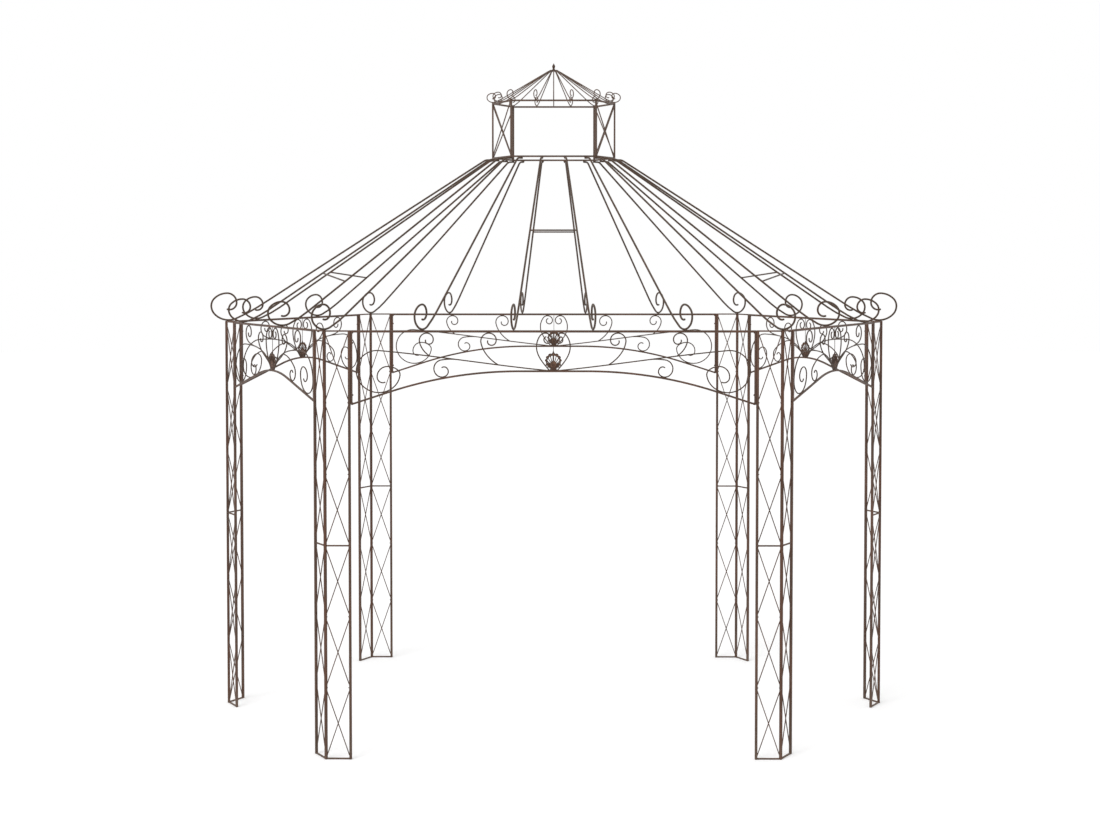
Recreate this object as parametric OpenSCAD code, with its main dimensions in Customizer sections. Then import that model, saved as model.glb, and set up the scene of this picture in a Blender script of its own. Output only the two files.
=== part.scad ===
// Open wire-work garden pavilion on an elongated hexagon: six lattice columns, six arched bays with
// scrollwork, a rafter roof whose rods end in scrolls, and a small lantern with a ribbed cap.
// Millimetres, +Z up. The origin is on the ground under the middle of the lantern; the front faces -Y.

/* [Plan] */
// Distance between the corners of the front and back bays
front_side = 2400; // [1800:10:3000]
// Distance between the corners of the four end bays
end_side = 1456; // [1200:2:1900]

/* [Columns] */
// Height of the corner posts, from the ground to the seat of the corner rafters
post_h = 2268; // [2000:2:2750]
// Width of one lattice side, from the corner post's axis to the outer bar's axis
lattice_w = 130; // [100:1:180]
// Side of the square upright bars
upright = 14; // [10:1:20]
// Side of the thin square rails across a lattice side
rail = 8; // [5:1:10]
// Thickness of the lattice wires
lattice_wire = 4; // [3:0.5:6]
// Crossed cells above the middle rail, and as many below it
cells = 3; // [2:1:5]

/* [Arched bays] */
// Height of the top bar of each bay
top_bar = 12; // [8:1:16]
// Thickness of the arched bar and of the bay's side bars
arch_bar = 10; // [7:1:14]
// From the middle of the top bar down to the ends of the front and back arches
front_drop = 384; // [330:2:440]
// From the middle of the top bar down to the ends of the four end arches
end_drop = 376; // [330:2:440]
// Rise of the front and back arches
front_rise = 175; // [130:1:190]
// Rise of the four end arches
end_rise = 130; // [100:1:150]
// Level stretch in the middle of the front and back arches
arch_flat = 358; // [100:2:500]
// Straight stretch at either end of the front and back arches, measured level
front_haunch = 206; // [60:2:300]
// Straight stretch at either end of the four end arches, measured level
end_haunch = 384; // [200:2:450]

/* [Scrollwork] */
// Thickness of the scroll wires
scroll_wire = 6; // [4:0.5:8]
// Height of the shell ornament over the arch
shell_h = 104; // [80:1:116]
// Thickness of the shell ornament
shell_t = 8; // [6:1:10]

/* [Roof] */
// Rise of the roof, from the tops of the posts to the middle of the lantern's base ring
roof_rise = 955; // [760:1:1200]
// Diameter of the rafter rods
rafter_d = 10; // [8:0.5:12]
// Height of the scroll at a rafter's foot
scroll_h = 140; // [100:2:170]
// Height of the scroll at the foot of the two side-corner rafters
side_scroll_h = 168; // [120:2:180]
// How far the lowest point of those two rafters lies inside the side corner
side_foot_inset = 12; // [0:1:16]
// Distance from the middle of a front bay to its inner rafters, at the eaves
inner_foot = 207; // [150:1:260]
// Distance from the middle of a front bay to its outer rafters, at the eaves
outer_foot = 684; // [500:1:780]
// Distance from the middle of a front bay to its inner rafters, at the lantern
inner_head = 66; // [40:1:100]
// Distance from the middle of a front bay to its outer rafters, at the lantern
outer_head = 183; // [120:1:220]
// Distance from the middle of an end bay to its rafter nearer the side corner, at the eaves
end_foot_near = 450; // [350:1:520]
// Distance from the middle of an end bay to its other rafter, at the eaves
end_foot_far = 150; // [80:1:300]
// Distance from the middle of an end bay to its rafter nearer the side corner, at the lantern
end_head_near = 70; // [40:1:100]
// Distance from the middle of an end bay to its other rafter, at the lantern
end_head_far = 49; // [30:1:100]
// Diameter of the ties between a bay's middle rafters
tie_d = 8; // [6:0.5:10]
// Height of the front and back ties above the tops of the posts
long_tie_rise = 528; // [220:2:640]
// Height of the ties in the end bays above the tops of the posts, at the rafter nearer the side corner
end_tie_rise = 284; // [170:2:600]
// How far those ties drop to their other end
end_tie_fall = 40; // [0:2:60]

/* [Lantern] */
// Length of the lantern's front and back sides
lantern_front = 486; // [400:2:560]
// Depth of the lantern over its front and back sides
lantern_depth = 524; // [460:2:600]
// Width of the lantern over its side corners
lantern_width = 714; // [680:2:900]
// Height between the middles of the lantern's two rings
lantern_h = 319; // [240:2:400]
// Side of the square bars of the rings and posts
lantern_bar = 10; // [8:1:14]
// Diameter of the crossed braces in the lantern's end faces
brace_d = 6; // [4:0.5:8]
// Rise of the cap from the top ring to the hub
cap_rise = 192; // [120:2:260]
// Diameter of the cap's ribs
rib_d = 5; // [4:0.5:6]
// Height of the scroll at a rib's foot
rib_scroll_h = 58; // [36:1:70]
// Distance from the middle of a long side of the cap to its outer ribs
cap_spread = 101; // [60:1:140]
// Rib of an end side, from that side's middle towards the side corner
cap_end_shift = 50; // [0:1:70]
// Height of the finial above the hub
finial_h = 44; // [30:1:80]

/* [Hidden] */
$fn = 32;
corner_turn = 60;          // each corner of the plan turns by a sixth of a full turn
seat = 0.3;                // clearance where one piece is welded or bolted to the next
step_angle = 18;           // angle between the points of a scroll wire's arc
rod_step = 22.5;           // angle between the rings of a bent rod
sweep_turn = 10;           // the part of a rod's foot bend that is a gentle sweep
rod_sides = 6;             // sides of a bent rod
bay_names = ["front", "right_front", "right_back", "back", "left_back", "left_front"];
corner_names = ["front_left", "front_right", "right", "back_right", "back_left", "left"];

// Plan of the eaves and of the lantern: corner i starts bay i, counter-clockwise from above.
function hexagon(front, half_depth, tip) = [
    [-front / 2, -half_depth], [front / 2, -half_depth], [tip, 0],
    [front / 2, half_depth], [-front / 2, half_depth], [-tip, 0]];
half_depth = end_side * sin(corner_turn);
eaves = hexagon(front_side, half_depth, front_side / 2 + end_side * cos(corner_turn));
lantern = hexagon(lantern_front, lantern_depth / 2, lantern_width / 2);

function is_long(bay) = bay % 3 == 0;
function wrap(i) = (i + 6) % 6;
function bay_length(bay) = is_long(bay) ? front_side : end_side;
function heading(v) = atan2(v[1], v[0]);
function unit(v) = v / norm(v);
function bay_heading(plan, bay) = heading(plan[wrap(bay + 1)] - plan[bay]);
function bay_middle(plan, bay) = (plan[bay] + plan[wrap(bay + 1)]) / 2;

top_bar_z = post_h - top_bar / 2;
frame_half = function (bay) bay_length(bay) / 2 - lattice_w - upright / 2 - seat;
function bay_rise(bay) = is_long(bay) ? front_rise : end_rise;
function bay_drop(bay) = is_long(bay) ? front_drop : end_drop;
function bay_flat(bay) = is_long(bay) ? arch_flat / 2 : 0;
function bay_haunch(bay) = is_long(bay) ? front_haunch : end_haunch;

// ---- curves -------------------------------------------------------------------------------------

// Points of an arc about c, from angle a through the angle sweep, without its first point
function arc(c, r, a, sweep) =
    let (n = max(2, ceil(abs(sweep) / step_angle)))
    [for (i = [1:n]) c + r * [cos(a + sweep * i / n), sin(a + sweep * i / n)]];

// A curl: arcs that join smoothly, each [radius, sweep]; the first one is centred on c
function curl(c, a, arcs, i = 0) =
    i == len(arcs) ? [] :
    let (r = arcs[i][0], end = a + arcs[i][1])
    let (next_r = i + 1 < len(arcs) ? arcs[i + 1][0] : r)
    concat(arc(c, r, a, arcs[i][1]),
           curl(c + (r - next_r) * [cos(end), sin(end)], end, arcs, i + 1));

// A stem from p to q that leaves along angle a and arrives along angle b
function stem(p, a, q, b, n = 10) =
    let (reach = norm(q - p) / 3)
    let (p1 = p + reach * [cos(a), sin(a)], q1 = q - reach * [cos(b), sin(b)])
    [for (i = [0:n]) let (t = i / n)
        pow(1 - t, 3) * p + 3 * t * pow(1 - t, 2) * p1 + 3 * t * t * (1 - t) * q1 + pow(t, 3) * q];

// A stem that runs smoothly into a curl about c, which starts at angle a; turning is 1 or -1
function stem_and_curl(p, leave, c, a, arcs, n = 10) =
    let (q = c + arcs[0][0] * [cos(a), sin(a)], turning = sign(arcs[0][1]))
    concat(stem(p, leave, q, a + 90 * turning, n), curl(c, a, arcs));

function along(path, i) = unit(path[min(i + 1, len(path) - 1)] - path[max(i - 1, 0)]);

// The outline of a flat wire of width w that follows a path
function band(path, w) =
    let (n = len(path))
    let (side = [for (i = [0:n - 1]) let (d = along(path, i)) [-d[1], d[0]] * w / 2])
    concat([for (i = [0:n - 1]) path[i] + side[i]],
           [for (i = [n - 1:-1:0]) path[i] - side[i]]);

module wire(path, w) polygon(band(path, w));

// Stands a flat shape upright: its x stays, its y becomes the height, and it is t thick
module upright_plate(t) rotate([90, 0, 0]) linear_extrude(t, center = true) children();

// Puts its children in the frame of one bay: x along the bay, -y outwards
module at_bay(plan, bay) {
    translate(bay_middle(plan, bay)) rotate(bay_heading(plan, bay)) children();
}

// ---- columns ------------------------------------------------------------------------------------

module post_section(i, grow = 0) {
    side = upright + 2 * grow;
    turn = (bay_heading(eaves, i) + bay_heading(eaves, wrap(i - 1))) / 2;
    translate(eaves[i]) rotate(turn) square(side, center = true);
}

module corner_post(i) {
    color("#54473e") linear_extrude(post_h) post_section(i);
}

// One X of lattice wire between the corner post and the outer bar
module crossed_wires(z0, z1, w) {
    rise = z1 - z0;
    for (flip = [-1, 1])
        translate([w / 2, 0, (z0 + z1) / 2]) rotate([0, -flip * atan2(rise, w), 0])
            cube([norm([w, rise]), lattice_wire, lattice_wire], center = true);
}

// A lattice side in the plane y = 0, from the post's axis at x = 0 to the outer bar's axis at x = w
module lattice_panel(w) {
    middle = post_h / 2;
    translate([w - upright / 2, -upright / 2, 0]) cube([upright, upright, post_h]);
    for (z = [0, middle - rail / 2, post_h - rail])
        translate([0, -rail / 2, z]) cube([w, rail, rail]);
    for (half = [[rail / 2, middle], [middle, post_h - rail / 2]], k = [0:cells - 1]) {
        cell = (half[1] - half[0]) / cells;
        crossed_wires(half[0] + k * cell, half[0] + (k + 1) * cell, w);
    }
}

// The side of column i that lies in the given bay, cut back to clear the corner post
module lattice_side(i, bay) {
    flip = bay == i ? 1 : -1;
    color("#5a4c42") difference() {
        at_bay(eaves, bay)
            translate([-flip * bay_length(bay) / 2, 0, 0]) scale_x(flip) lattice_panel(lattice_w);
        translate([0, 0, -1]) linear_extrude(post_h + 2) post_section(i, seat);
    }
}

module scale_x(flip) {
    if (flip < 0) mirror([1, 0, 0]) children();
    else children();
}

// ---- arched bays --------------------------------------------------------------------------------

// The arched bar's middle line: a level crown, a round shoulder on either side and straight haunches.
// The shoulder's level width and the haunches' slope follow from the rise: where t is the tangent of
// half the slope, rise = shoulder * t + haunch * 2 * t / (1 - t * t), which a few rounds solve.
function shoulder(bay) = frame_half(bay) - bay_flat(bay) - bay_haunch(bay);
function half_slope(bay, t = 0, rounds = 8) =
    let (k = 1 - t * t)
    rounds == 0 ? t
    : half_slope(bay, bay_rise(bay) * k / (shoulder(bay) * k + 2 * bay_haunch(bay)), rounds - 1);
function haunch_slope(bay) = 2 * atan(half_slope(bay));
function arch_radius(bay) = shoulder(bay) / sin(haunch_slope(bay));
function arch_z(bay, u) =
    let (crown = top_bar_z - bay_drop(bay) + bay_rise(bay), run = max(0, abs(u) - bay_flat(bay)))
    let (r = arch_radius(bay), bent = min(run, shoulder(bay)))
    crown - r + sqrt(r * r - bent * bent) - (run - bent) * tan(haunch_slope(bay));
function arch_line(bay, from, to) =
    let (n = 28)
    [for (i = [0:n]) let (u = from + (to - from) * i / n) [u, arch_z(bay, u)]];

module arch_frame(bay) {
    half = frame_half(bay);
    color("#4c4038") at_bay(eaves, bay) {
        upright_plate(arch_bar) {
            wire(arch_line(bay, -half + arch_bar / 2, half - arch_bar / 2), arch_bar);
            for (flip = [-1, 1])
                translate([flip * (half - arch_bar / 2), top_bar_z - bay_drop(bay) / 2])
                    square([arch_bar, bay_drop(bay)], center = true);
        }
        translate([-half, -top_bar / 2, top_bar_z - top_bar / 2]) cube([2 * half, top_bar, top_bar]);
    }
}

// ---- scrollwork ---------------------------------------------------------------------------------

// The shell: a fan of seven lobes on a short neck, with a bead of a tip
shell_lobes = 7;
shell_spread = 77;                       // half the angle that the fan opens
shell_focus = 0.28 * shell_h;            // the fan's centre, above the arch
function shell_reach(a) =                // longest upright, shorter towards the sides
    let (dip = 0.09 * (1 - abs(cos(90 * a * shell_lobes / shell_spread))))
    (0.33 + 0.28 * cos(a)) * (1 - dip) * shell_h;
module shell_outline(grow = 0) {
    neck = 0.17 * shell_h + grow;
    polygon(concat(
        [[-neck, 0]],
        [for (a = [-shell_spread:4:shell_spread])
            [sin(a), cos(a)] * (shell_reach(a) + grow) + [0, shell_focus]],
        [[neck, 0]]));
    translate([0, shell_focus + shell_reach(0)]) rotate(45)
        square(0.14 * shell_h + 2 * grow, center = true);
}

module shell_slots() {
    for (k = [-2.5:1:2.5]) {
        a = 2 * k * shell_spread / shell_lobes;
        far = shell_reach(a) - 0.1 * shell_h;
        translate([0, shell_focus]) rotate(-a)
            polygon([for (p = [[-1, 0.16], [1, 0.16], [2.4, 0.8], [1.4, 1], [-1.4, 1], [-2.4, 0.8]])
                [0.011 * shell_h * p[0], far * (0.3 + 0.7 * p[1])]]);
    }
}

module shell(bay) {
    color("#3b2f29") at_bay(eaves, bay)
        translate([0, 0, arch_z(bay, 0) + arch_bar / 2 + seat])
            upright_plate(shell_t) difference() {
                shell_outline();
                shell_slots();
            }
}

// The room inside a bay's bars, which the scroll wires fill
module bay_window(bay) {
    half = frame_half(bay) - arch_bar - seat;
    top = top_bar_z - top_bar / 2 - seat;
    lower = [for (p = arch_line(bay, -half, half))
        p + [0, (arch_bar / 2 + seat) / cos(arch_slope(bay, p[0]))]];
    polygon(concat(lower, [[half, top], [-half, top]]));
}

module wires(paths) {
    for (path = paths, flip = [-1, 1])
        scale_x(flip) wire(path, scroll_wire);
}

// Centre of a curl of radius r that rests on the arch, or hangs from the top bar, at u
function arch_slope(bay, u) =
    asin(min(shoulder(bay), max(0, abs(u) - bay_flat(bay))) / arch_radius(bay));
function on_arch(bay, u, r) =
    [u, arch_z(bay, u) + (r + (arch_bar + scroll_wire) / 2) / cos(arch_slope(bay, u))];
function under_bar(u, r) = [u, top_bar_z - (top_bar + scroll_wire) / 2 - r];

// A small curl of radius r that rolls in to the left, and the same one rolling in to the right
function small_curl(r) = [[r, 130], [0.84 * r, 80], [0.56 * r, 110], [0.4 * r, 70]];
function turned(arcs) = [for (s = arcs) [s[0], -s[1]]];

// The pair of stems over the shell, each with a curl that turns in under the top bar
function lyre(bay, r) =
    stem_and_curl([0.19 * shell_h, arch_z(bay, 0) + 0.3 * arch_bar], 50,
                  under_bar(1.1 * r, 0.92 * r) - 1.68 * r * [cos(35), sin(35)], -5,
                  r * [[2.6, 40 / r], [0.92, 95 / r], [0.72, 90 / r], [0.5, 160 / r], [0.36, 60 / r]], 8);

// Stems of a long bay: one that runs out to a big curl by the column, with three small curls on it
function long_bay_stems(bay) =
    let (half = frame_half(bay), r = 108, spread = half / 1063)
    let (rest = on_arch(bay, half - 1.37 * r, 1.11 * r))
    let (main = stem_and_curl([20, arch_z(bay, 0) + 0.3 * arch_bar], 5.5,
                              rest + 0.11 * r * [cos(35), -sin(35)], 95,
                              r * [[1, -130 / r], [1.11, -90 / r], [0.95, -45 / r], [0.3, -60 / r],
                                   [0.75, -45 / r], [0.5, -90 / r], [0.27, -110 / r]], 20))
    [main,
     stem_and_curl(main[6], 30, under_bar(338 * spread, 42), -10, small_curl(42), 6),
     stem_and_curl(main[11], 4, on_arch(bay, 580 * spread, 42), 80, turned(small_curl(46)), 6),
     stem_and_curl(main[14], 30, under_bar(664 * spread, 38), -10, small_curl(38), 6)];

// Stems of an end bay: one that runs out to a big curl in the corner of arch and side bar, with a
// small curl that falls from it and one that reaches the top bar, and a short stem by the shell
function short_bay_stems(bay) =
    let (half = frame_half(bay), r = 98, spread = half / 591, foot = [14, arch_z(bay, 0) + 0.3 * arch_bar])
    let (rest = on_arch(bay, half - arch_bar - scroll_wire - 0.752 * r, r))
    let (main = stem_and_curl(foot, 58, rest - r * [0.828, 0.295], 90,
                              r * [[1.58, -90 / r], [0.7, -80 / r], [1, -100 / r], [0.42, -90 / r],
                                   [0.56, -70 / r], [0.32, -110 / r], [0.22, -70 / r]], 20))
    [main,
     stem_and_curl(main[8], 0, on_arch(bay, 288 * spread, 43), 50, turned(small_curl(43)), 6),
     stem_and_curl(main[14], 12, under_bar(364 * spread, 43), -20, small_curl(43), 6),
     stem_and_curl(foot, 56, [176 * spread, top_bar_z - 76], -25, small_curl(38), 10)];

module scrollwork(bay) {
    stems = is_long(bay) ? long_bay_stems(bay) : short_bay_stems(bay);
    crown = arch_z(bay, 0);
    color("#5f5047") at_bay(eaves, bay) upright_plate(scroll_wire) difference() {
        intersection() {
            bay_window(bay);
            union() {
                wires(concat([lyre(bay, is_long(bay) ? 38 : 41)], stems));
                translate([-scroll_wire / 4, crown]) square([scroll_wire / 2, top_bar_z - crown]);
            }
        }
        translate([0, crown + arch_bar / 2 + seat]) shell_outline(seat);
    }
}

// ---- roof ---------------------------------------------------------------------------------------

// Points of a path that starts at p along angle a. Each move is [radius, sweep] for an arc, which
// turns left where its sweep is positive, or [0, length] for a straight stretch.
function path_points(p, a, moves, i = 0) =
    i == len(moves) ? [p] :
    let (r = moves[i][0], size = moves[i][1])
    r == 0
        ? concat([p], path_points(p + size * [cos(a), sin(a)], a, moves, i + 1))
        : let (from = a - 90 * sign(size), c = p - r * [cos(from), sin(from)])
          let (n = max(1, ceil(abs(size) / rod_step)))
          concat([for (k = [0:n - 1]) c + r * [cos(from + size * k / n), sin(from + size * k / n)]],
                 path_points(c + r * [cos(from + size), sin(from + size)], a + size, moves, i + 1));

// A rod of diameter d along a path in the plane y = 0, as a tube of few sides
module rod(path, d) {
    last = len(path) - 1;
    rings = [for (i = [0:last]) let (t = along(path, i), n = [-t[1], t[0]])
        for (k = [0:rod_sides - 1]) let (a = 360 * (k + 0.5) / rod_sides)
            let (q = path[i] + n * cos(a) * d / 2) [q[0], sin(a) * d / 2, q[1]]];
    sides = [for (i = [0:last - 1], k = [0:rod_sides - 1]) let (m = (k + 1) % rod_sides)
        for (f = [[k, m, k + rod_sides], [m, m + rod_sides, k + rod_sides]]) [for (v = f) v + i * rod_sides]];
    polyhedron(rings, concat(sides,
        [[for (k = [rod_sides - 1:-1:0]) k], [for (k = [0:rod_sides - 1]) k + last * rod_sides]]));
}

// A rod in an upright plane from head to foot (points of the plan): a short level stub, a bend, the
// straight slope, a gentle sweep and a bend that bring it level again at the foot, and a scroll that
// rolls up outwards.
function scroll_radius(height, d) = (height - d) / 2;
function sweep_radius(r) = 11 * r;
function foot_radius(r) = 1.43 * r;
// Angle and length of the straight slope, for a rod that ends in a scroll of radius r
function slope(run, drop, top_bend, r) =
    let (spare = sweep_radius(r) - foot_radius(r), fall = drop - top_bend - foot_radius(r))
    let (side = top_bend + sweep_radius(r) - spare * cos(sweep_turn))
    let (reach = sqrt(pow(run, 2) + pow(fall, 2) - pow(side, 2)))
    [atan2(fall, run) + atan2(side, reach), reach - spare * sin(sweep_turn)];

module scrolled_rod(head, foot, head_z, foot_z, d, height, stub, top_bend) {
    r = scroll_radius(height, d);
    straight = slope(norm(foot - head) - stub, head_z - foot_z, top_bend, r);
    moves = [[0, stub], [top_bend, -straight[0]], [0, straight[1]],
             [sweep_radius(r), sweep_turn], [foot_radius(r), straight[0] - sweep_turn],
             [foot_radius(r), 45], [0.9 * r, 45], [0.77 * r, 45], [1.37 * r, 45],
             [0.7 * r, 90], [0.53 * r, 110]];
    translate(head) rotate(heading(foot - head)) rod(path_points([0, head_z], 0, moves), d);
}

// Point of a bay's eaves, or of the lantern's ring, at u from the middle of the bay
function at_side(plan, bay, u) =
    bay_middle(plan, bay) + u * unit(plan[wrap(bay + 1)] - plan[bay]);

lantern_z = post_h + roof_rise;                                // middle of the lantern's base ring
eaves_z = post_h + seat + rafter_d / 2;                        // axis of a rafter's foot
stub_z = lantern_z - lantern_bar / 2 - seat - rafter_d / 2;    // axis of its stub, under the base ring
rafter_stub = 34;
rafter_bend = 46;

// Rafters reach in under the base ring as far as its inner face
function rafter_head(point, foot) = point + unit(point - foot) * lantern_bar / 2;
module rafter(point, foot, height = scroll_h) {
    scrolled_rod(rafter_head(point, foot), foot, stub_z, eaves_z, rafter_d, height, rafter_stub, rafter_bend);
}

// Feet and heads of a bay's rafters. An end bay's pair stands off towards the side corner.
function side_sign(bay) = bay % 3 == 1 ? 1 : -1;
function rafter_places(bay) = is_long(bay)
    ? [[-inner_foot, -inner_head], [inner_foot, inner_head],
       [-outer_foot, -outer_head], [outer_foot, outer_head]]
    : side_sign(bay) * [[end_foot_near, end_head_near], [-end_foot_far, -end_head_far]];

// The point of a rafter's axis at height z, on its slope
function slope_point(point, foot, z) =
    let (head = rafter_head(point, foot), run = norm(foot - head) - rafter_stub)
    let (angle = slope(run, stub_z - eaves_z, rafter_bend, scroll_radius(scroll_h, rafter_d))[0])
    let (s = rafter_stub + rafter_bend * sin(angle)
             + (stub_z - rafter_bend * (1 - cos(angle)) - z) / tan(angle))
    concat(head + unit(foot - head) * s, z);

module straight_rod(p, q, d) {
    v = q - p;
    translate(p) rotate([0, acos(v[2] / norm(v)), heading(v)]) cylinder(h = norm(v), d = d);
}

// The tie between a bay's two middle rafters, its ends cut round to meet them
module tie(bay) {
    places = rafter_places(bay);
    z = post_h * [1, 1]
        + (is_long(bay) ? [long_tie_rise, long_tie_rise] : [end_tie_rise, end_tie_rise - end_tie_fall]);
    function point(i, z) =
        slope_point(at_side(lantern, bay, places[i][1]), at_side(eaves, bay, places[i][0]), z);
    difference() {
        straight_rod(point(0, z[0]), point(1, z[1]), tie_d);
        for (i = [0, 1]) straight_rod(point(i, z[i] - 60), point(i, z[i] + 60), rafter_d + 2 * seat);
    }
}

module bay_rafters(bay) {
    color("#4a3e36") {
        for (place = rafter_places(bay))
            rafter(at_side(lantern, bay, place[1]), at_side(eaves, bay, place[0]));
        tie(bay);
    }
}

module corner_rafters() {
    color("#4a3e36") for (i = [0:5])
        if (i % 3 == 2) rafter(lantern[i], eaves[i] - side_foot_inset * unit(eaves[i]), side_scroll_h);
        else rafter(lantern[i], eaves[i]);
}

// ---- lantern ------------------------------------------------------------------------------------

// A plan moved outwards by d on every side
function grown(plan, d) = [for (i = [0:5])
    let (a = bay_heading(plan, wrap(i - 1)), b = bay_heading(plan, i))
    let (n = [sin(a) + sin(b), -cos(a) - cos(b)])
    plan[i] + n * d / (1 + cos(a - b))];

module ring(z) {
    translate([0, 0, z - lantern_bar / 2]) linear_extrude(lantern_bar) difference() {
        polygon(grown(lantern, lantern_bar / 2));
        polygon(grown(lantern, -lantern_bar / 2));
    }
}

top_ring_z = lantern_z + lantern_h;
post_low = lantern_z + lantern_bar / 2 + seat;
post_high = top_ring_z - lantern_bar / 2 - seat;

module lantern_base_ring() { color("#50443b") ring(lantern_z); }
module lantern_top_ring() { color("#50443b") ring(top_ring_z); }

module lantern_post_section(i, grow = 0) {
    turn = (bay_heading(lantern, i) + bay_heading(lantern, wrap(i - 1))) / 2;
    translate(lantern[i]) rotate(turn) square(lantern_bar + 2 * grow, center = true);
}

module lantern_posts() {
    color("#50443b") for (i = [0:5])
        translate([0, 0, post_low]) linear_extrude(post_high - post_low) lantern_post_section(i);
}

// Two rods cross in each end face, one just inside the other
module lantern_braces() {
    color("#5f5047") difference() {
        for (bay = [0:5], flip = [-1, 1])
            if (!is_long(bay)) at_bay(lantern, bay) {
                half = norm(lantern[wrap(bay + 1)] - lantern[bay]) / 2 - lantern_bar / 3;
                inward = flip * (brace_d + seat) / 2;
                straight_rod([-half, inward, flip < 0 ? post_low : post_high],
                             [half, inward, flip < 0 ? post_high : post_low], brace_d);
            }
        for (i = [0:5])
            translate([0, 0, post_low - 40]) linear_extrude(lantern_h + 80) lantern_post_section(i, seat);
        for (z = [post_low - 40, post_high])
            translate([0, 0, z]) linear_extrude(40) polygon(grown(lantern, 60));
    }
}

// ---- cap and finial -----------------------------------------------------------------------------

hub_r = 26;
hub_t = 6;
rib_inner_r = 18;
hub_z = top_ring_z + cap_rise;
rib_foot_z = top_ring_z + lantern_bar / 2 + seat + rib_d / 2;
rib_head_z = hub_z - seat - rib_d / 2;

// Foot of each rib, and the point that its head lies towards: one rib to each corner of the top ring,
// three to each long side, one to each end side
rib_ends = concat(
    [for (point = lantern) [point, point]],
    [for (bay = [0:5], u = is_long(bay) ? [-cap_spread, 0, cap_spread] : [side_sign(bay) * cap_end_shift])
        [at_side(lantern, bay, u), at_side(lantern, bay, is_long(bay) ? u : 0)]]);

module cap_ribs() {
    color("#5f5047") for (ends = rib_ends)
        scrolled_rod(unit(ends[1]) * rib_inner_r, ends[0],
                     rib_head_z, rib_foot_z, rib_d, rib_scroll_h, 8, 16);
}

// Hub plate and a turned spear bud, as one lathe profile
module finial() {
    color("#3f342d") translate([0, 0, hub_z]) rotate_extrude() polygon(concat(
        [[0, 0], [hub_r, 0], [hub_r, hub_t / 2], [hub_r - 3, hub_t], [5, hub_t], [5, 0.30 * finial_h]],
        [for (t = [0:0.1:1]) [5 + 5.5 * sin(180 * pow(t, 0.7)) - 5 * t, (0.30 + 0.70 * t) * finial_h]]));
}

// ---- nodes --------------------------------------------------------------------------------------

NODES = concat(
    [for (i = [0:5]) str(corner_names[i], "_post")],
    [for (i = [0:5], bay = [i, wrap(i - 1)]) str(corner_names[i], "_column_", bay_names[bay], "_lattice")],
    [for (bay = [0:5]) str(bay_names[bay], "_arch_frame")],
    [for (bay = [0:5]) str(bay_names[bay], "_scrollwork")],
    [for (bay = [0:5]) str(bay_names[bay], "_rafters")],
    ["shell_ornaments", "corner_rafters", "lantern_base_ring", "lantern_posts", "lantern_top_ring",
     "lantern_braces", "cap_ribs", "finial"]);
node = "all";
function wanted(name) = node == "all" || node == name;

for (i = [0:5]) if (wanted(str(corner_names[i], "_post"))) corner_post(i);
for (i = [0:5], bay = [i, wrap(i - 1)])
    if (wanted(str(corner_names[i], "_column_", bay_names[bay], "_lattice"))) lattice_side(i, bay);
for (bay = [0:5]) if (wanted(str(bay_names[bay], "_arch_frame"))) arch_frame(bay);
for (bay = [0:5]) if (wanted(str(bay_names[bay], "_scrollwork"))) scrollwork(bay);
if (wanted("shell_ornaments")) for (bay = [0:5]) shell(bay);
for (bay = [0:5]) if (wanted(str(bay_names[bay], "_rafters"))) bay_rafters(bay);
if (wanted("corner_rafters")) corner_rafters();
if (wanted("lantern_base_ring")) lantern_base_ring();
if (wanted("lantern_posts")) lantern_posts();
if (wanted("lantern_top_ring")) lantern_top_ring();
if (wanted("lantern_braces")) lantern_braces();
if (wanted("cap_ribs")) cap_ribs();
if (wanted("finial")) finial();
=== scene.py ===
"""Garden pavilion of bar, rod and wire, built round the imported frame.

Every bar, rod and wire is a section carried along a path; the castings, beads and bolts are grids
of two parameters. All lengths are in metres and all angles in degrees, in the frame's own axes.
"""
import logging
from dataclasses import dataclass, field
from enum import Enum

import bpy
import numpy as np
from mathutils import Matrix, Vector


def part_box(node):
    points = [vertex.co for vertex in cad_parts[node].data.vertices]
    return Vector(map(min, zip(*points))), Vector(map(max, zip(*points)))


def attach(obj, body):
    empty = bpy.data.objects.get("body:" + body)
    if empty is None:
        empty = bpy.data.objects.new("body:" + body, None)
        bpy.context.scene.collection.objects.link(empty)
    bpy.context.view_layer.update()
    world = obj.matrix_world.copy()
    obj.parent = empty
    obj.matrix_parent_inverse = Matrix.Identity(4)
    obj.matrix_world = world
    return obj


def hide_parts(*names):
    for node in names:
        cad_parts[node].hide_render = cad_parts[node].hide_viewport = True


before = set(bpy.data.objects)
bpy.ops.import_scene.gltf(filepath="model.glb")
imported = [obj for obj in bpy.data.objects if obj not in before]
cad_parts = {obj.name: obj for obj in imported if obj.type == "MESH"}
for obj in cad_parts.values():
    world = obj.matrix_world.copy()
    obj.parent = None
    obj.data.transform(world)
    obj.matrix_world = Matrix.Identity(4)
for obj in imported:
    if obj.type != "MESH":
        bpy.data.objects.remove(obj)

Array = np.ndarray
Socket = bpy.types.NodeSocket
Tree = bpy.types.NodeTree
Screen = tuple[int, int, int]    # a screen colour, 0 to 255
LOG = logging.getLogger("pavilion")
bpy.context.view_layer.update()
RUB = "rub"                      # name of the point attribute that says how exposed an edge is
UP = np.array([0.0, 0.0, 1.0])


class Slot(Enum):
    """The record's material slots."""

    POST = "post"
    LATTICE = "lattice"
    FRAME = "frame"
    SCROLLWORK = "scrollwork"
    ORNAMENT = "ornament"
    RAFTER = "rafter"
    LANTERN = "lantern"


# ---- small vector helpers -----------------------------------------------------------------------

def unit(v: Array) -> Array:
    """Scales each vector to length one."""
    v = np.asarray(v, float)
    return v / np.maximum(np.linalg.norm(v, axis=-1, keepdims=True), 1e-12)


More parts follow.
